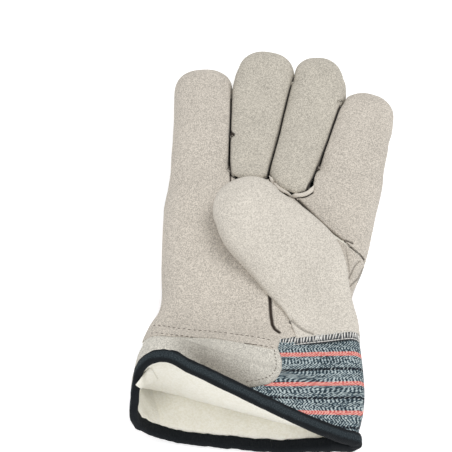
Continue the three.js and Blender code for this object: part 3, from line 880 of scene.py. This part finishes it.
palmSheet = cutFrom(
    body, palmSide, lambda co: co.y - palmEdgeY(co.x),
    lambda co: -socketSide(co) - palm["socketGap"] + palm["socketLap"] * (1 - smoothStep(13, 17, co.z)),
    lambda co: -gussetField(co) - hand["seamGap"],
    lambda co: signedDistance(trees["thumb"], co) + palm["underThumb"] if co.z > 18 else 5)
pushAlong(palmSheet, lambda co, normal: palm["raise"] * (1 - smoothStep(5, 22, co.y - palmEdgeY(co.x)))
          * (1 - smoothStep(2, 13, co.x)))
rollEdges(palmSheet, 1.8, 1.0, lambda co: co.y > 60 or co.z < 16)
rollEdges(palmSheet, 1.2, 0.5, lambda co: co.y < 5)
palmTree = treeOf(palmSheet)
finishPiece("palmLeather", palmSheet, palmLeather, ["palm"], hand["shell"], foldShades["palm"])

gusset = cutFrom(body, palmSide, pastWrist, lambda co: gussetField(co) - hand["seamGap"])
rollEdges(gusset, 1.6, 0.8)
finishPiece("thumbGusset", gusset, palmLeather, ["thumb_gusset"], hand["shell"], foldShades["palm"])
print("palm ready")

thumbSheet = cutFrom(thumbShape, pastWrist, lambda co: signedDistance(trees["body"], co) + thumb["inset"])
finishPiece("thumbLeather", thumbSheet, thumbLeather, ["thumb"], hand["shell"], foldShades["thumb"])


def tipField(name):
    # positive where the fingertip's leather cap is
    (beforeX, beforeY, *_), (x, y, width, *_) = fingers[name][-2:]
    heading = math.atan2(y - beforeY, x - beforeX)
    edge = width / 2 - fingerSkin["tipCap"]
    return lambda co: (co.x - x) * math.cos(heading) + (co.y - y) * math.sin(heading) - edge


tipSide = {name: tipField(name) for name in ("little", "ring", "middle")}


def indexField(co):
    # positive where the index finger's back is leather
    return min(co.x - fingerSkin["indexBack"][0], co.y - fingerSkin["indexBack"][1])


def layCloth(bm):
    # stripes run lengthwise; the sides fold down flat in the pattern
    layer = bm.loops.layers.uv.get("cloth") or bm.loops.layers.uv.new("cloth")
    bm.normal_update()
    for face in bm.faces:
        for loop in face.loops:
            co, normal = loop.vert.co, loop.vert.normal
            side = math.copysign(max(0, co.z - 3.5), normal.x) * min(1, abs(normal.x) * 1.4)
            loop[layer].uv = (co.y, co.x + side)


for name in ("ring", "middle"):
    front = cutFrom(tubes[name], palmSide,
                    lambda co: signedDistance(trees["body"], co) + fingerSkin["frontInset"],
                    lambda co: rootSide[name](co) + fingerSkin["rootLap"])
    rollEdges(front, 2.6, 1.7, lambda co: co.z > 15)
    rollEdges(front, 1.4, 0.7, lambda co: co.z < 15)
    finishPiece(name + "Front", front, fingerLeather, [name + "_front"],
                hand["shell"], foldShades[name])

backs = bmesh.new()
for name in ("body", "ring", "middle"):
    if name == "body":
        fields = (lambda co: -indexField(co) - hand["seamGap"],
                  lambda co: -tipSide["little"](co) - hand["seamGap"] if co.x < fingerSkin["littleSide"] else 5,
                  clearOfFingers)
    else:
        fields = (lambda co: -tipSide[name](co) - hand["seamGap"],
                  lambda co: signedDistance(trees["body"], co) + fingerSkin["backInset"])
    back = cutFrom(shapes[name], backSide, pastWrist, *fields)
    pushAlong(back, lambda co, normal: -0.35)
    rollEdges(back, 1.4, 0.6)
    layCloth(back)
    backs.from_mesh(meshFrom(back))
    back.free()
finishPiece("handBack", backs, handTwill, ["hand_back"], 1.3)

caps = {
    "tip_little": (body, lambda co: tipSide["little"](co) + fingerSkin["capGap"],
                   lambda co: fingerSkin["littleSide"] - co.x),
    "tip_ring": (tubes["ring"], lambda co: tipSide["ring"](co) + fingerSkin["capGap"]),
    "tip_middle": (tubes["middle"], lambda co: tipSide["middle"](co) + fingerSkin["capGap"]),
    "indexBack": (body, lambda co: indexField(co) + fingerSkin["capGap"], clearOfFingers),
}
for name, (source, *fields) in caps.items():
    cap = cutFrom(source, backSide, *fields)
    rollEdges(cap, 1.4, 0.5)
    node = "index_back" if name == "indexBack" else name
    finishPiece(name, cap, backLeather, [node], 1.5)
print("fingers ready")

strap = {"near": 48, "far": 86, "top": 7.4, "proud": 1.2, "thick": 1.4}
strapSheet = cutFrom(body, lambda co: strap["top"] - co.z,
                     lambda co: min(co.y - strap["near"], strap["far"] - co.y))
pushAlong(strapSheet, lambda co, normal: strap["proud"])
rollEdges(strapSheet, 1.6, 0.6)
strapTree = treeOf(strapSheet)
finishPiece("knuckleStrap", strapSheet, backLeather, ["knuckle_strap"], strap["thick"])

cuff = {"around": 260, "rings": 44, "dense": 1.0, "first": -59, "overrun": 18, "thick": 1.3,
        "rimY": -62, "dip": 1.2, "dipFrom": -20, "dipRun": 70, "floorTop": 8, "floorRun": 26,
        "climb": 0.218, "climbFrom": 18, "climbPower": 1.25}
# how much nearer to the wrist the rim runs on the floor and along its top (x, y)
rimCorner = ([-74, -70, -64, -58, -52, -47, -42, -36, -29.5, -17, -5, 7, 20, 34],
             [8.4, 7.2, 6.4, 5.7, 5.1, 4.4, 3.4, 2.6, 2.1, 0.9, -0.1, -1.0, -0.6, 0])
rimTop = ([-74, -70, -67, -64, -60, -56, -52, -48, -43, -30, -15, 10, 30, 40],
          [2.6, 2.4, 1.6, 1.0, 0.1, -0.4, -0.9, -1.4, -2.6, -2.6, -2.1, -1.9, -1.0, 0])


def rimY(x, z):
    # the rim dips towards the viewer as it runs from the raised left to the right
    turn = eased(np.clip((x - cuff["dipFrom"]) / cuff["dipRun"], 0, 1))
    high = eased(np.clip((z - cuff["floorTop"]) / cuff["floorRun"], 0, 1))
    corner = np.interp(x, *rimCorner) * (1 - high) + np.interp(x, *rimTop) * high
    climb = cuff["climb"] * np.maximum(0, z - cuff["climbFrom"]) ** cuff["climbPower"]
    return cuff["rimY"] - cuff["dip"] * turn + climb + corner


def rimGap(points):
    return points[..., 1] - rimY(points[..., 0], points[..., 2])


def sleeve(around, grow, stop, step):
    # sections of the cuff and the hand up to stop, which begin well beyond the rim
    rings = [handRing(handRow(y), around, grow) for y in np.arange(cuff["first"], stop, step)]
    before = [rings[0] - np.array([0, beyond, 0]) for beyond in range(cuff["overrun"], 0, -2)]
    return np.stack(before + rings)


def cuffRings(grow, start, stop, count, around=cuff["around"]):
    # rings from start mm behind the rim to stop mm past the wrist, and how far each point is from y = 0
    dense = sleeve(around, grow, 8.01, cuff["dense"])
    fromRim = rimGap(dense) - start
    fromWrist = dense[..., 1] - wristY(dense[..., 0]) - stop
    made = np.zeros((count + 1, around + 1, 3))
    far = np.zeros((count + 1, around + 1))
    for c in range(around + 1):
        column = dense[:, c]
        index = np.arange(len(column))
        low = np.interp(0, fromRim[:, c], index)
        high = np.interp(0, fromWrist[:, c], index)
        passed = np.concatenate([[0], np.cumsum(np.linalg.norm(np.diff(column, axis=0), axis=1))])
        zero = np.interp(np.interp(0, column[:, 1], index), index, passed)
        at = np.interp(np.linspace(low, high, count + 1), index, passed)
        for k in range(3):
            made[:, c, k] = np.interp(at, passed, column[:, k])
        far[:, c] = zero - at
    return made, far


points, far = cuffRings(-0.3, 0.6, 1.0, cuff["rings"])
length = np.linalg.norm(np.diff(points[cuff["rings"] // 2], axis=0), axis=1).sum()
along = np.linspace(0, length, cuff["around"] + 1)
stripeRun = ([-30, 11, 20, 28, 37, 47, 90], [.10, .10, .13, .19, .22, .2, .2])


def stripePlace(point, far):
    # the stripes run level over the raised palm side, whose rows climb towards the left
    x, y, z = point
    level = -(y + np.interp(-y, *stripeRun) * (50 - x))
    share = smoothStep(-40, 0, x) * smoothStep(7, 13, z)
    return far + (level - far) * share


cloth = [[(around, stripePlace(point, away)) for around, point, away in zip(along, *row)]
         for row in zip(points, far)]
cuffSheet = sheetGrid(points, cloth)
closeTube(cuffSheet, ends=False)
pushAlong(cuffSheet, lambda co, normal: 0.5 * waves(co, 20, 4.4)
          * smoothStep(0, 12, co.y - float(rimY(co.x, co.z))))
finishPiece("cuffTwillBand", cuffSheet, cuffTwill, ["cuff"], cuff["thick"])

patch = {
    "edge": [(7.6, 20), (7.8, -9), (9.8, -16), (10.6, -20), (10.4, -26), (9, -32), (6.4, -36.4), (2, -39.8),
             (-4, -42.8), (-14, -47), (-60, -60)],
    "stitch": [(6.0, -11), (6.4, -17), (6.9, -23), (6.2, -29.4), (3.6, -33.8), (-0.6, -37.2), (-5.7, -39.8),
               (-11, -42)],
    "leftZ": 19.5, "proud": 1.0, "rim": 2.5, "past": 2.0, "underPalm": 5, "rings": 70, "around": 320,
    "thick": 1.0,
}
points, _ = cuffRings(patch["proud"], patch["rim"], patch["past"], patch["rings"], patch["around"])
patchSide = pathField(patch["edge"])
patchSheet = cutFrom(closeTube(sheetGrid(points), ends=False), lambda co: -patchSide(co),
                     lambda co: palmEdgeY(co.x) + patch["underPalm"] - co.y, lambda co: co.z - patch["leftZ"])
rollEdges(patchSheet, 1.8, 1.0)
patchTree = treeOf(patchSheet)
finishPiece("cuffPatch", patchSheet, patchLeather, ["cuff_patch"], patch["thick"])
print("cuff ready")

tape = {"outer": 1.6, "inner": -3.1, "outLeg": 5.8, "inLeg": 5.0, "round": 9, "depth": 8, "around": 300,
        "length": 290, "ripples": ((0.35, 7), (0.25, 3)), "thick": 0.6,
        "closes": (8, 50), "closing": (3.4, 4.8), "legCloses": 0.9}  # towards the right-hand corner
rim, inward = (cuffRings(0, start, 0, 1, tape["around"])[0][0] for start in (0, tape["depth"]))


def tapeProfile(spot):
    # how far out and how far beyond the rim each row of the tape lies; it closes up at the right-hand corner
    corner = smoothStep(*tape["closes"], spot[0])
    inner = tape["inner"] - corner * tape["closing"][0 if spot[2] > 9 else 1]
    outer, outLeg = tape["outer"], tape["outLeg"] - tape["legCloses"] * corner
    made = [(outer - 0.5, -outLeg), (outer - 0.1, -outLeg + 1.0)]
    made += [(outer, -outLeg * (1 - t)) for t in (0.35, 0.55, 0.75, 0.9)]
    middle, reach = (outer + inner) / 2, (outer - inner) / 2
    for i in range(tape["round"] + 1):
        turn = math.pi * i / tape["round"]
        made.append((middle + reach * math.cos(turn), 0.8 * min(reach, 2.4) * math.sin(turn)))
    return made + [(inner, -tape["inLeg"] * t) for t in (0.3, 0.65, 1.0)]


frames = []
for c in range(len(rim)):
    here = Vector(rim[c])
    back = (here - Vector(inward[c])).normalized()
    run = Vector(rim[(c + 1) % (len(rim) - 1)]) - Vector(rim[(c - 1) % (len(rim) - 1)])
    frames.append((here, back, run.cross(back).normalized(), tapeProfile(rim[c])))
here, _, outward, _ = frames[40]
sign = 1 if outward.dot(here - Vector(rim.mean(axis=0))) > 0 else -1
profile = tapeProfile((-40, 0, 40))
points = []
for k in range(len(profile)):
    row = []
    for here, back, outward, lanes in frames:
        out, beyond = lanes[k]
        (tall, long), (fineTall, fineLong) = tape["ripples"]
        ripple = tall * waves(here, long, 3.7 + k * 0.05) + fineTall * waves(here, fineLong, 8.1)
        row.append(here + outward * sign * (out + ripple) + back * (beyond + 1.2 * ripple))
    points.append(row)
passed = [0]
for a, b in zip(profile, profile[1:]):
    passed.append(passed[-1] + math.hypot(b[0] - a[0], b[1] - a[1]))
around = np.linspace(0, tape["length"], len(rim))
tapeSheet = sheetGrid(points, [[(across, down) for across in around] for down in passed])
closeTube(tapeSheet, ends=False)
tapeSheet.normal_update()
turnTowards(tapeSheet, max(tapeSheet.verts, key=lambda v: v.co.z), Vector((0, -0.5, 0.87)))
tapeTree = treeOf(tapeSheet)
finishPiece("bindingTape", tapeSheet, blackTape, ["binding"], tape["thick"])

# The loose palm side hangs down from the upper rim onto the back's, and then runs on into the hand.
# The fold's line in plan and its height (x, y, z), then rows of depth behind the rim, drop and inset.
lining = {
    "fold": [(-90, -44, 42), (-75, -35, 32), (-72, -33.4, 25.5), (-69.6, -32.4, 19.5), (-66.6, -31.2, 14.5),
             (-62.6, -30.6, 10.8), (-58, -30.6, 8.6), (-56.3, -31.1, 7.4), (-50.5, -32.3, 7.4),
             (-42.4, -34.2, 7.0), (-27.9, -38.2, 7.0), (-6.1, -44.4, 7.0), (14.5, -49.8, 7.0),
             (37.8, -56.3, 7.0), (70, -60, 7.0)],
    "rows": [(1.0, 0.0, -1.8), (3.8, 0.0, -1.9), (5.2, 0.02, -2.6), (5.8, 0.14, -3.2), (6.0, 0.36, -3.4),
             (6.1, 0.56, -3.4), (6.2, 0.76, -3.4), (6.3, 0.92, -3.4), (6.5, 0.99, -3.4), (7.2, 1.0, -3.4),
             (9, 1.0, -3.4), (12, 1.0, -3.4), (17, 1.0, -3.4), (24, 1.0, -3.4), (32, 0.9, -3.4),
             (42, 0.7, -3.4), (56, 0.4, -3.4), (76, 0.1, -3.4), (104, 0, -3.4), (132, 0, -3.4)],
    "insets": (-1.8, -3.4), "around": 240, "steps": 5, "foldDepth": 6.4, "bulge": 2.0, "lip": 3.2,
    # painted shade: the lining is darkened a little on its hanging part, above a given height
    "hang": 0.577, "floor": 4.0, "thick": 1.6, "liningShade": [(0.10, 60, [(-60, -20), (40, -60)])], "liningShadeAbove": 9,
}
foldTable = np.array(lining["fold"], float).T
sleeves = [sleeve(lining["around"], inset, 92, 2.0) for inset in lining["insets"]]


def liningRing(depth, drop, inset):
    # the section that is depth mm behind the rim, with its palm side let down
    near, far = lining["insets"]
    share = (inset - near) / (far - near)
    dense = sleeves[0] * (1 - share) + sleeves[1] * share
    fromRim = rimGap(dense) - depth
    index = np.arange(len(dense))
    ring = np.zeros((lining["around"] + 1, 3))
    for c in range(lining["around"] + 1):
        at = np.interp(0, fromRim[:, c], index)
        for k in range(3):
            ring[c, k] = np.interp(at, index, dense[:, c, k])
    if drop > 0:
        for point in ring:
            foldY, foldZ = (np.interp(point[0], foldTable[0], row) for row in foldTable[1:])
            high = point[2] - foldZ
            if high > 0:
                past = depth - lining["foldDepth"]
                lip = lining["lip"] * (1 - smoothStep(0, 4, past)) * smoothStep(0, 12, high)
                wanted = foldY - lining["hang"] * lip + max(0, past)
                bulge = lining["bulge"] * math.sin(math.pi * min(1, drop)) * smoothStep(6, 30, high)
                point[1] += (wanted - point[1]) * (drop * smoothStep(0, 6, high)) - bulge
                point[2] -= (high * 0.97 - lip) * drop
    return evenly(ring[:-1], lining["around"])


keyed = [(i, *row) for i, row in enumerate(lining["rows"])]
count = (len(keyed) - 1) * lining["steps"]
liningRows = [liningRing(*between(keyed, i / lining["steps"])) for i in range(count + 1)]
liningSheet = closeTube(sheetGrid(liningRows), ends=False)
pushAlong(liningSheet, lambda co, normal: (0.8 * waves(co, 26, 6.1) + 0.3 * waves(co, 9, 2.2))
          * smoothStep(5, 16, float(rimGap(np.array(co)))))
for vert in liningSheet.verts:
    vert.co.z = max(vert.co.z, lining["floor"])
liningSheet.normal_update()
nearFloor = min(liningSheet.verts, key=lambda v: (v.co - Vector((0, -40, 2))).length)
turnTowards(liningSheet, nearFloor, Vector((0, 0, 1)))
liningTree = treeOf(liningSheet)
# painted shade on the lining's hanging palm side
paintFoldShade(liningSheet, lining["liningShade"], lining["liningShadeAbove"])
finishPiece("liningSleeve", liningSheet, fleece, ["lining"], lining["thick"])

# The lining's left corner flops out over the tape: its corners in plan at one height, dropped along one line
flop = {"top": (-63.8, -32.1), "tip": (-71.7, -43.5), "low": (-68.0, -47.4), "inner": (-60.0, -41.6),
        "height": 48, "along": Vector((0, 0.5, -0.866)), "back": 60, "cells": 24,
        "outer": 1.1, "tuck": -1.4, "thick": 1.0, "rounds": ((np.min, 3), (np.mean, 4))}
cells = range(flop["cells"] + 1)
starts, reaches = [], np.zeros((len(cells), len(cells)))
for i in cells:
    for j in cells:
        u, v = i / flop["cells"], j / flop["cells"]
        x, y = (flop["top"][k] * (1 - u) * (1 - v) + flop["tip"][k] * u * (1 - v) + flop["low"][k] * u * v
                + flop["inner"][k] * (1 - u) * v for k in (0, 1))
        starts.append(Vector((x, y, flop["height"])) - flop["along"] * flop["back"])
        hits = [tree.ray_cast(starts[-1], flop["along"]) for tree in (tapeTree, liningTree)]
        reach = min([hit[3] for hit in hits if hit[0] is not None] or [flop["back"]])
        reaches[i, j] = reach - flop["outer"] - (flop["tuck"] - flop["outer"]) * smoothStep(0.4, 0.9, 1 - u)
# it spans the step between the tape and the lining
for pick, rounds in flop["rounds"]:
    for _ in range(rounds):
        padded = np.pad(reaches, 1, mode="edge")
        around = [padded[di:di + len(cells), dj:dj + len(cells)] for di in range(3) for dj in range(3)]
        reaches = pick(around, axis=0)
flopSheet = sheetGrid([[starts[i * len(cells) + j] + flop["along"] * float(reaches[i, j]) for j in cells]
                       for i in cells])
flopSheet.normal_update()
flopSheet.faces.ensure_lookup_table()
turnTowards(flopSheet, flopSheet.faces[0], -flop["along"])
# painted shade, as on the rest of the lining
paintFoldShade(flopSheet, lining["liningShade"], lining["liningShadeAbove"])
finishPiece("liningCorner", flopSheet, fleece, (), flop["thick"])
print("lining ready")


def castRow(tree, path, step, fromAbove=True):
    # evenly spaced points of a plan path on a surface, with its normals
    height, down = (120, -1) if fromAbove else (-60, 1)
    casts = [tree.ray_cast(Vector((spot.x, spot.y, height)), Vector((0, 0, down)))
             for spot in alongPath([(x, y, 0) for x, y in path], 0.5)]
    hits = [hit[:2] for hit in casts if hit[0] is not None]
    made, passed, wanted = [hits[0]], 0, step
    for (a, _), (b, normal) in zip(hits, hits[1:]):
        passed += (b - a).length
        if passed >= wanted:
            made.append((b, normal))
            wanted += step
    return made


def plumpStitch(bm, spot, along, normal, size):
    turn = Matrix((along, normal.cross(along), normal)).transposed().to_4x4()
    scale = Matrix.Diagonal((*(side / 2 for side in size), 1))
    bmesh.ops.create_uvsphere(bm, u_segments=6, v_segments=4, radius=1,
                              matrix=Matrix.Translation(spot) @ turn @ scale)


def threadPieces(bm, places, length, width, high):
    # small plump stitches, laid from each place towards the next
    spots = [p for p, _ in places]
    for i, (spot, normal) in enumerate(places):
        run = (spots[min(i + 1, len(spots) - 1)] - spots[max(i - 1, 0)]).normalized()
        jitter = 1 + draw.uniform(-0.12, 0.12)
        plumpStitch(bm, spot, run, normal, (length * jitter, width, high))


seams = {
    "palm": [[(-63.3, 6.2), (-57.5, 4.8), (-48.2, 2.4), (-33.5, -0.6), (-19.6, -3.0), (-6.7, -4.6),
              (4.8, -6.8)],
             [(-64.4, 0.6), (-56.8, -1.6), (-48.1, -3.6), (-33.6, -7.0), (-19.3, -9.4), (-5.2, -10.8),
              (5.0, -11.9)]],
    "spacing": 3.1, "patchSpacing": 2.7, "palmSize": (2.1, 0.62, 0.5), "patchSize": (1.9, 0.6, 0.45),
    "strapSize": (2.1, 0.6, 0.45), "strap": [[(-58, 50.5), (55, 50.5)], [(-58, 83.5), (66, 83.5)]],
}
bm = bmesh.new()
for path in seams["palm"]:
    threadPieces(bm, castRow(palmTree, path, seams["spacing"]), *seams["palmSize"])
threadPieces(bm, castRow(patchTree, patch["stitch"], seams["patchSpacing"]), *seams["patchSize"])
for path in seams["strap"]:
    threadPieces(bm, castRow(strapTree, path, seams["spacing"], False), *seams["strapSize"])
finishPiece("darkStitches", bm, darkThread)

# The strip of leather that is folded into the middle finger's seam
welt = castRow(trees["body"], roots["welt"], 0.5)
rings = []
for i, (spot, normal) in enumerate(welt):
    run = (welt[min(i + 1, len(welt) - 1)][0] - welt[max(i - 1, 0)][0]).normalized()
    side = normal.cross(run).normalized()
    size = 0.25 + smoothStep(0, 8, min(i, len(welt) - 1 - i))
    rings.append([spot + normal * (0.25 + 0.75 * size * math.sin(t)) + side * (1.15 * size * math.cos(t))
                  for t in np.linspace(0, 2 * math.pi, 13)])
finishPiece("rootWelt", closeTube(sheetGrid(rings)), weltLeather)

# Overlocked seam where the hand joins the cuff: from the patch's corner round the right-hand side and the back
overlock = {
    "start": (9.5, 26), "stop": (-66, 7), "steps": 720, "even": 25, "reach": 12, "before": 1.2, "thick": 0.8,
    "strip": ((2.6, -0.6), (2.5, 0.1), (1.4, 0.4), (0, 0.45), (-1.6, 0.3), (-3.0, 0.0), (-3.2, -1.2)),
    "tall": 5.6, "pitch": 0.86, "high": 0.84, "chain": (2.5, 0.75, 0.7), "chainPitch": 2.0,
    "proud": 0.62, "extra": 0.12, "chainY": -2.7, "chainProud": 0.35,
}
ring = handRing(handRow(0), overlock["steps"])[:-1]
centre = ring.mean(axis=0)
start, stop = (int(np.argmin(np.hypot(ring[:, 0] - x, ring[:, 2] - z)))
               for x, z in (overlock["start"], overlock["stop"]))
direction = 1 if ring[(start + 20) % overlock["steps"]][0] > ring[start][0] else -1
seam = []
for i in range((stop - start) * direction % overlock["steps"]):
    at = start + i * direction
    x, _, z = ring[at % overlock["steps"]]
    spot = Vector((x, wristY(x) - overlock["before"], z))
    run = ring[(at + 1) % overlock["steps"]] - ring[(at - 1) % overlock["steps"]]
    normal = Vector((run[2], 0, -run[0])).normalized()
    if normal.dot(spot - Vector((centre[0], spot.y, centre[2]))) < 0:
        normal = -normal
    probe = spot + normal * overlock["reach"] + Vector((0, 1.8, 0))
    hits = [trees[name].ray_cast(probe, -normal, overlock["reach"] + 4) for name in ("thumb", "body")]
    seam.append((spot, normal, max([0] + [overlock["reach"] - hit[3] for hit in hits if hit[0] is not None])))
padded = np.pad([reach for _, _, reach in seam], overlock["even"] // 2, mode="edge")
reaches = np.convolve(padded, np.ones(overlock["even"]) / overlock["even"], "valid")
for i, (spot, normal, _) in enumerate(seam):
    sunk = 0.9 * smoothStep(50, 58, spot.x) + 0.8 * smoothStep(-57, -64, spot.x)  # a little at both ends
    seam[i] = (spot + normal * float(max(reaches[i] - 0.5, -0.1) - sunk), normal)
strip = sheetGrid([[spot + Vector((0, y, 0)) + normal * lift for y, lift in overlock["strip"]]
                   for spot, normal in seam])
strip.normal_update()
strip.faces.ensure_lookup_table()
turnTowards(strip, strip.faces[len(strip.faces) // 2], seam[len(seam) // 2][1])
finishPiece("overlockBase", strip, slateThread, (), overlock["thick"])
lengths = np.concatenate([[0], np.cumsum([(b[0] - a[0]).length for a, b in zip(seam, seam[1:])])])
pale = bmesh.new()
for i in range(int(lengths[-1] / overlock["pitch"])):
    spot, normal = seam[int(np.searchsorted(lengths, i * overlock["pitch"]))]
    extra = draw.random() < overlock["extra"]
    along = Vector((0.2 + draw.uniform(-0.26, 0.2), 1, 0)).normalized()
    along = (along - normal * along.dot(normal)).normalized()
    tall = overlock["tall"] * draw.uniform(0.86, 1.04)
    if i % 2 == 0 or extra:
        place = spot + normal * overlock["proud"] + Vector((0, draw.uniform(-0.3, 0.3), 0))
        plumpStitch(pale, place, along, normal, (tall, 2 * draw.uniform(0.38, 0.56), overlock["high"]))
chain = [(spot + Vector((0, overlock["chainY"], 0)) + normal * overlock["chainProud"], normal)
         for spot, normal in seam]
every = np.arange(0, lengths[-1], overlock["chainPitch"])
threadPieces(pale, [chain[k] for k in np.searchsorted(lengths, every)], *overlock["chain"])
finishPiece("overlockThread", pale, paleThread)
print("seams ready")

studio = {
    "floor": {"Base Color": (0.9, 0.9, 0.9, 1), "Roughness": 1.0, "Emission Color": (1, 1, 1, 1),
              "Emission Strength": 0.45},
    "world": {"Color": (1, 1, 1, 1), "Strength": 0.56},
    "lamps": {"keyLight": ((0.5, 0.3, 1.5), 0.75, 10), "fillLight": ((-0.25, -0.9, 1.2), 1.0, 7)},
    "lens": 150, "sensor": 36, "tilt": math.radians(60), "away": 1.13,
    "target": Vector((-0.026446, 0.002225, 0.020)),
}


def stand(name, data, spot, aim):
    # puts a lamp or camera at a spot, looking at its aim
    made = bpy.data.objects.new(name, data)
    made.location = spot
    made.rotation_euler = (Vector(aim) - made.location).to_track_quat("-Z", "Y").to_euler()
    bpy.context.scene.collection.objects.link(made)
    return made


bm = bmesh.new()
bmesh.ops.create_grid(bm, x_segments=1, y_segments=1, size=4)
floorMesh = meshFrom(bm, "floor")
floor = bpy.data.objects.new("floor", floorMesh)
bpy.context.scene.collection.objects.link(floor)
floorMaterial, _, shader, _ = startMaterial("paleFloor")
for socket, value in studio["floor"].items():
    shader.inputs[socket].default_value = value
floorMesh.materials.append(floorMaterial)

world = bpy.data.worlds.new("studio")
world.use_nodes = True
for socket, value in studio["world"].items():
    world.node_tree.nodes["Background"].inputs[socket].default_value = value
bpy.context.scene.world = world

for name, (spot, size, power) in studio["lamps"].items():
    lamp = bpy.data.lights.new(name, "AREA")
    lamp.shape, lamp.size, lamp.energy = "SQUARE", size, power
    stand(name, lamp, spot, (0, 0, 0))

lens = bpy.data.cameras.new("camera")
lens.lens, lens.sensor_width = studio["lens"], studio["sensor"]
away = studio["away"] * Vector((0, -math.cos(studio["tilt"]), math.sin(studio["tilt"])))
bpy.context.scene.camera = stand("camera", lens, studio["target"] + away, studio["target"])
bpy.context.scene.view_settings.view_transform = "Standard"
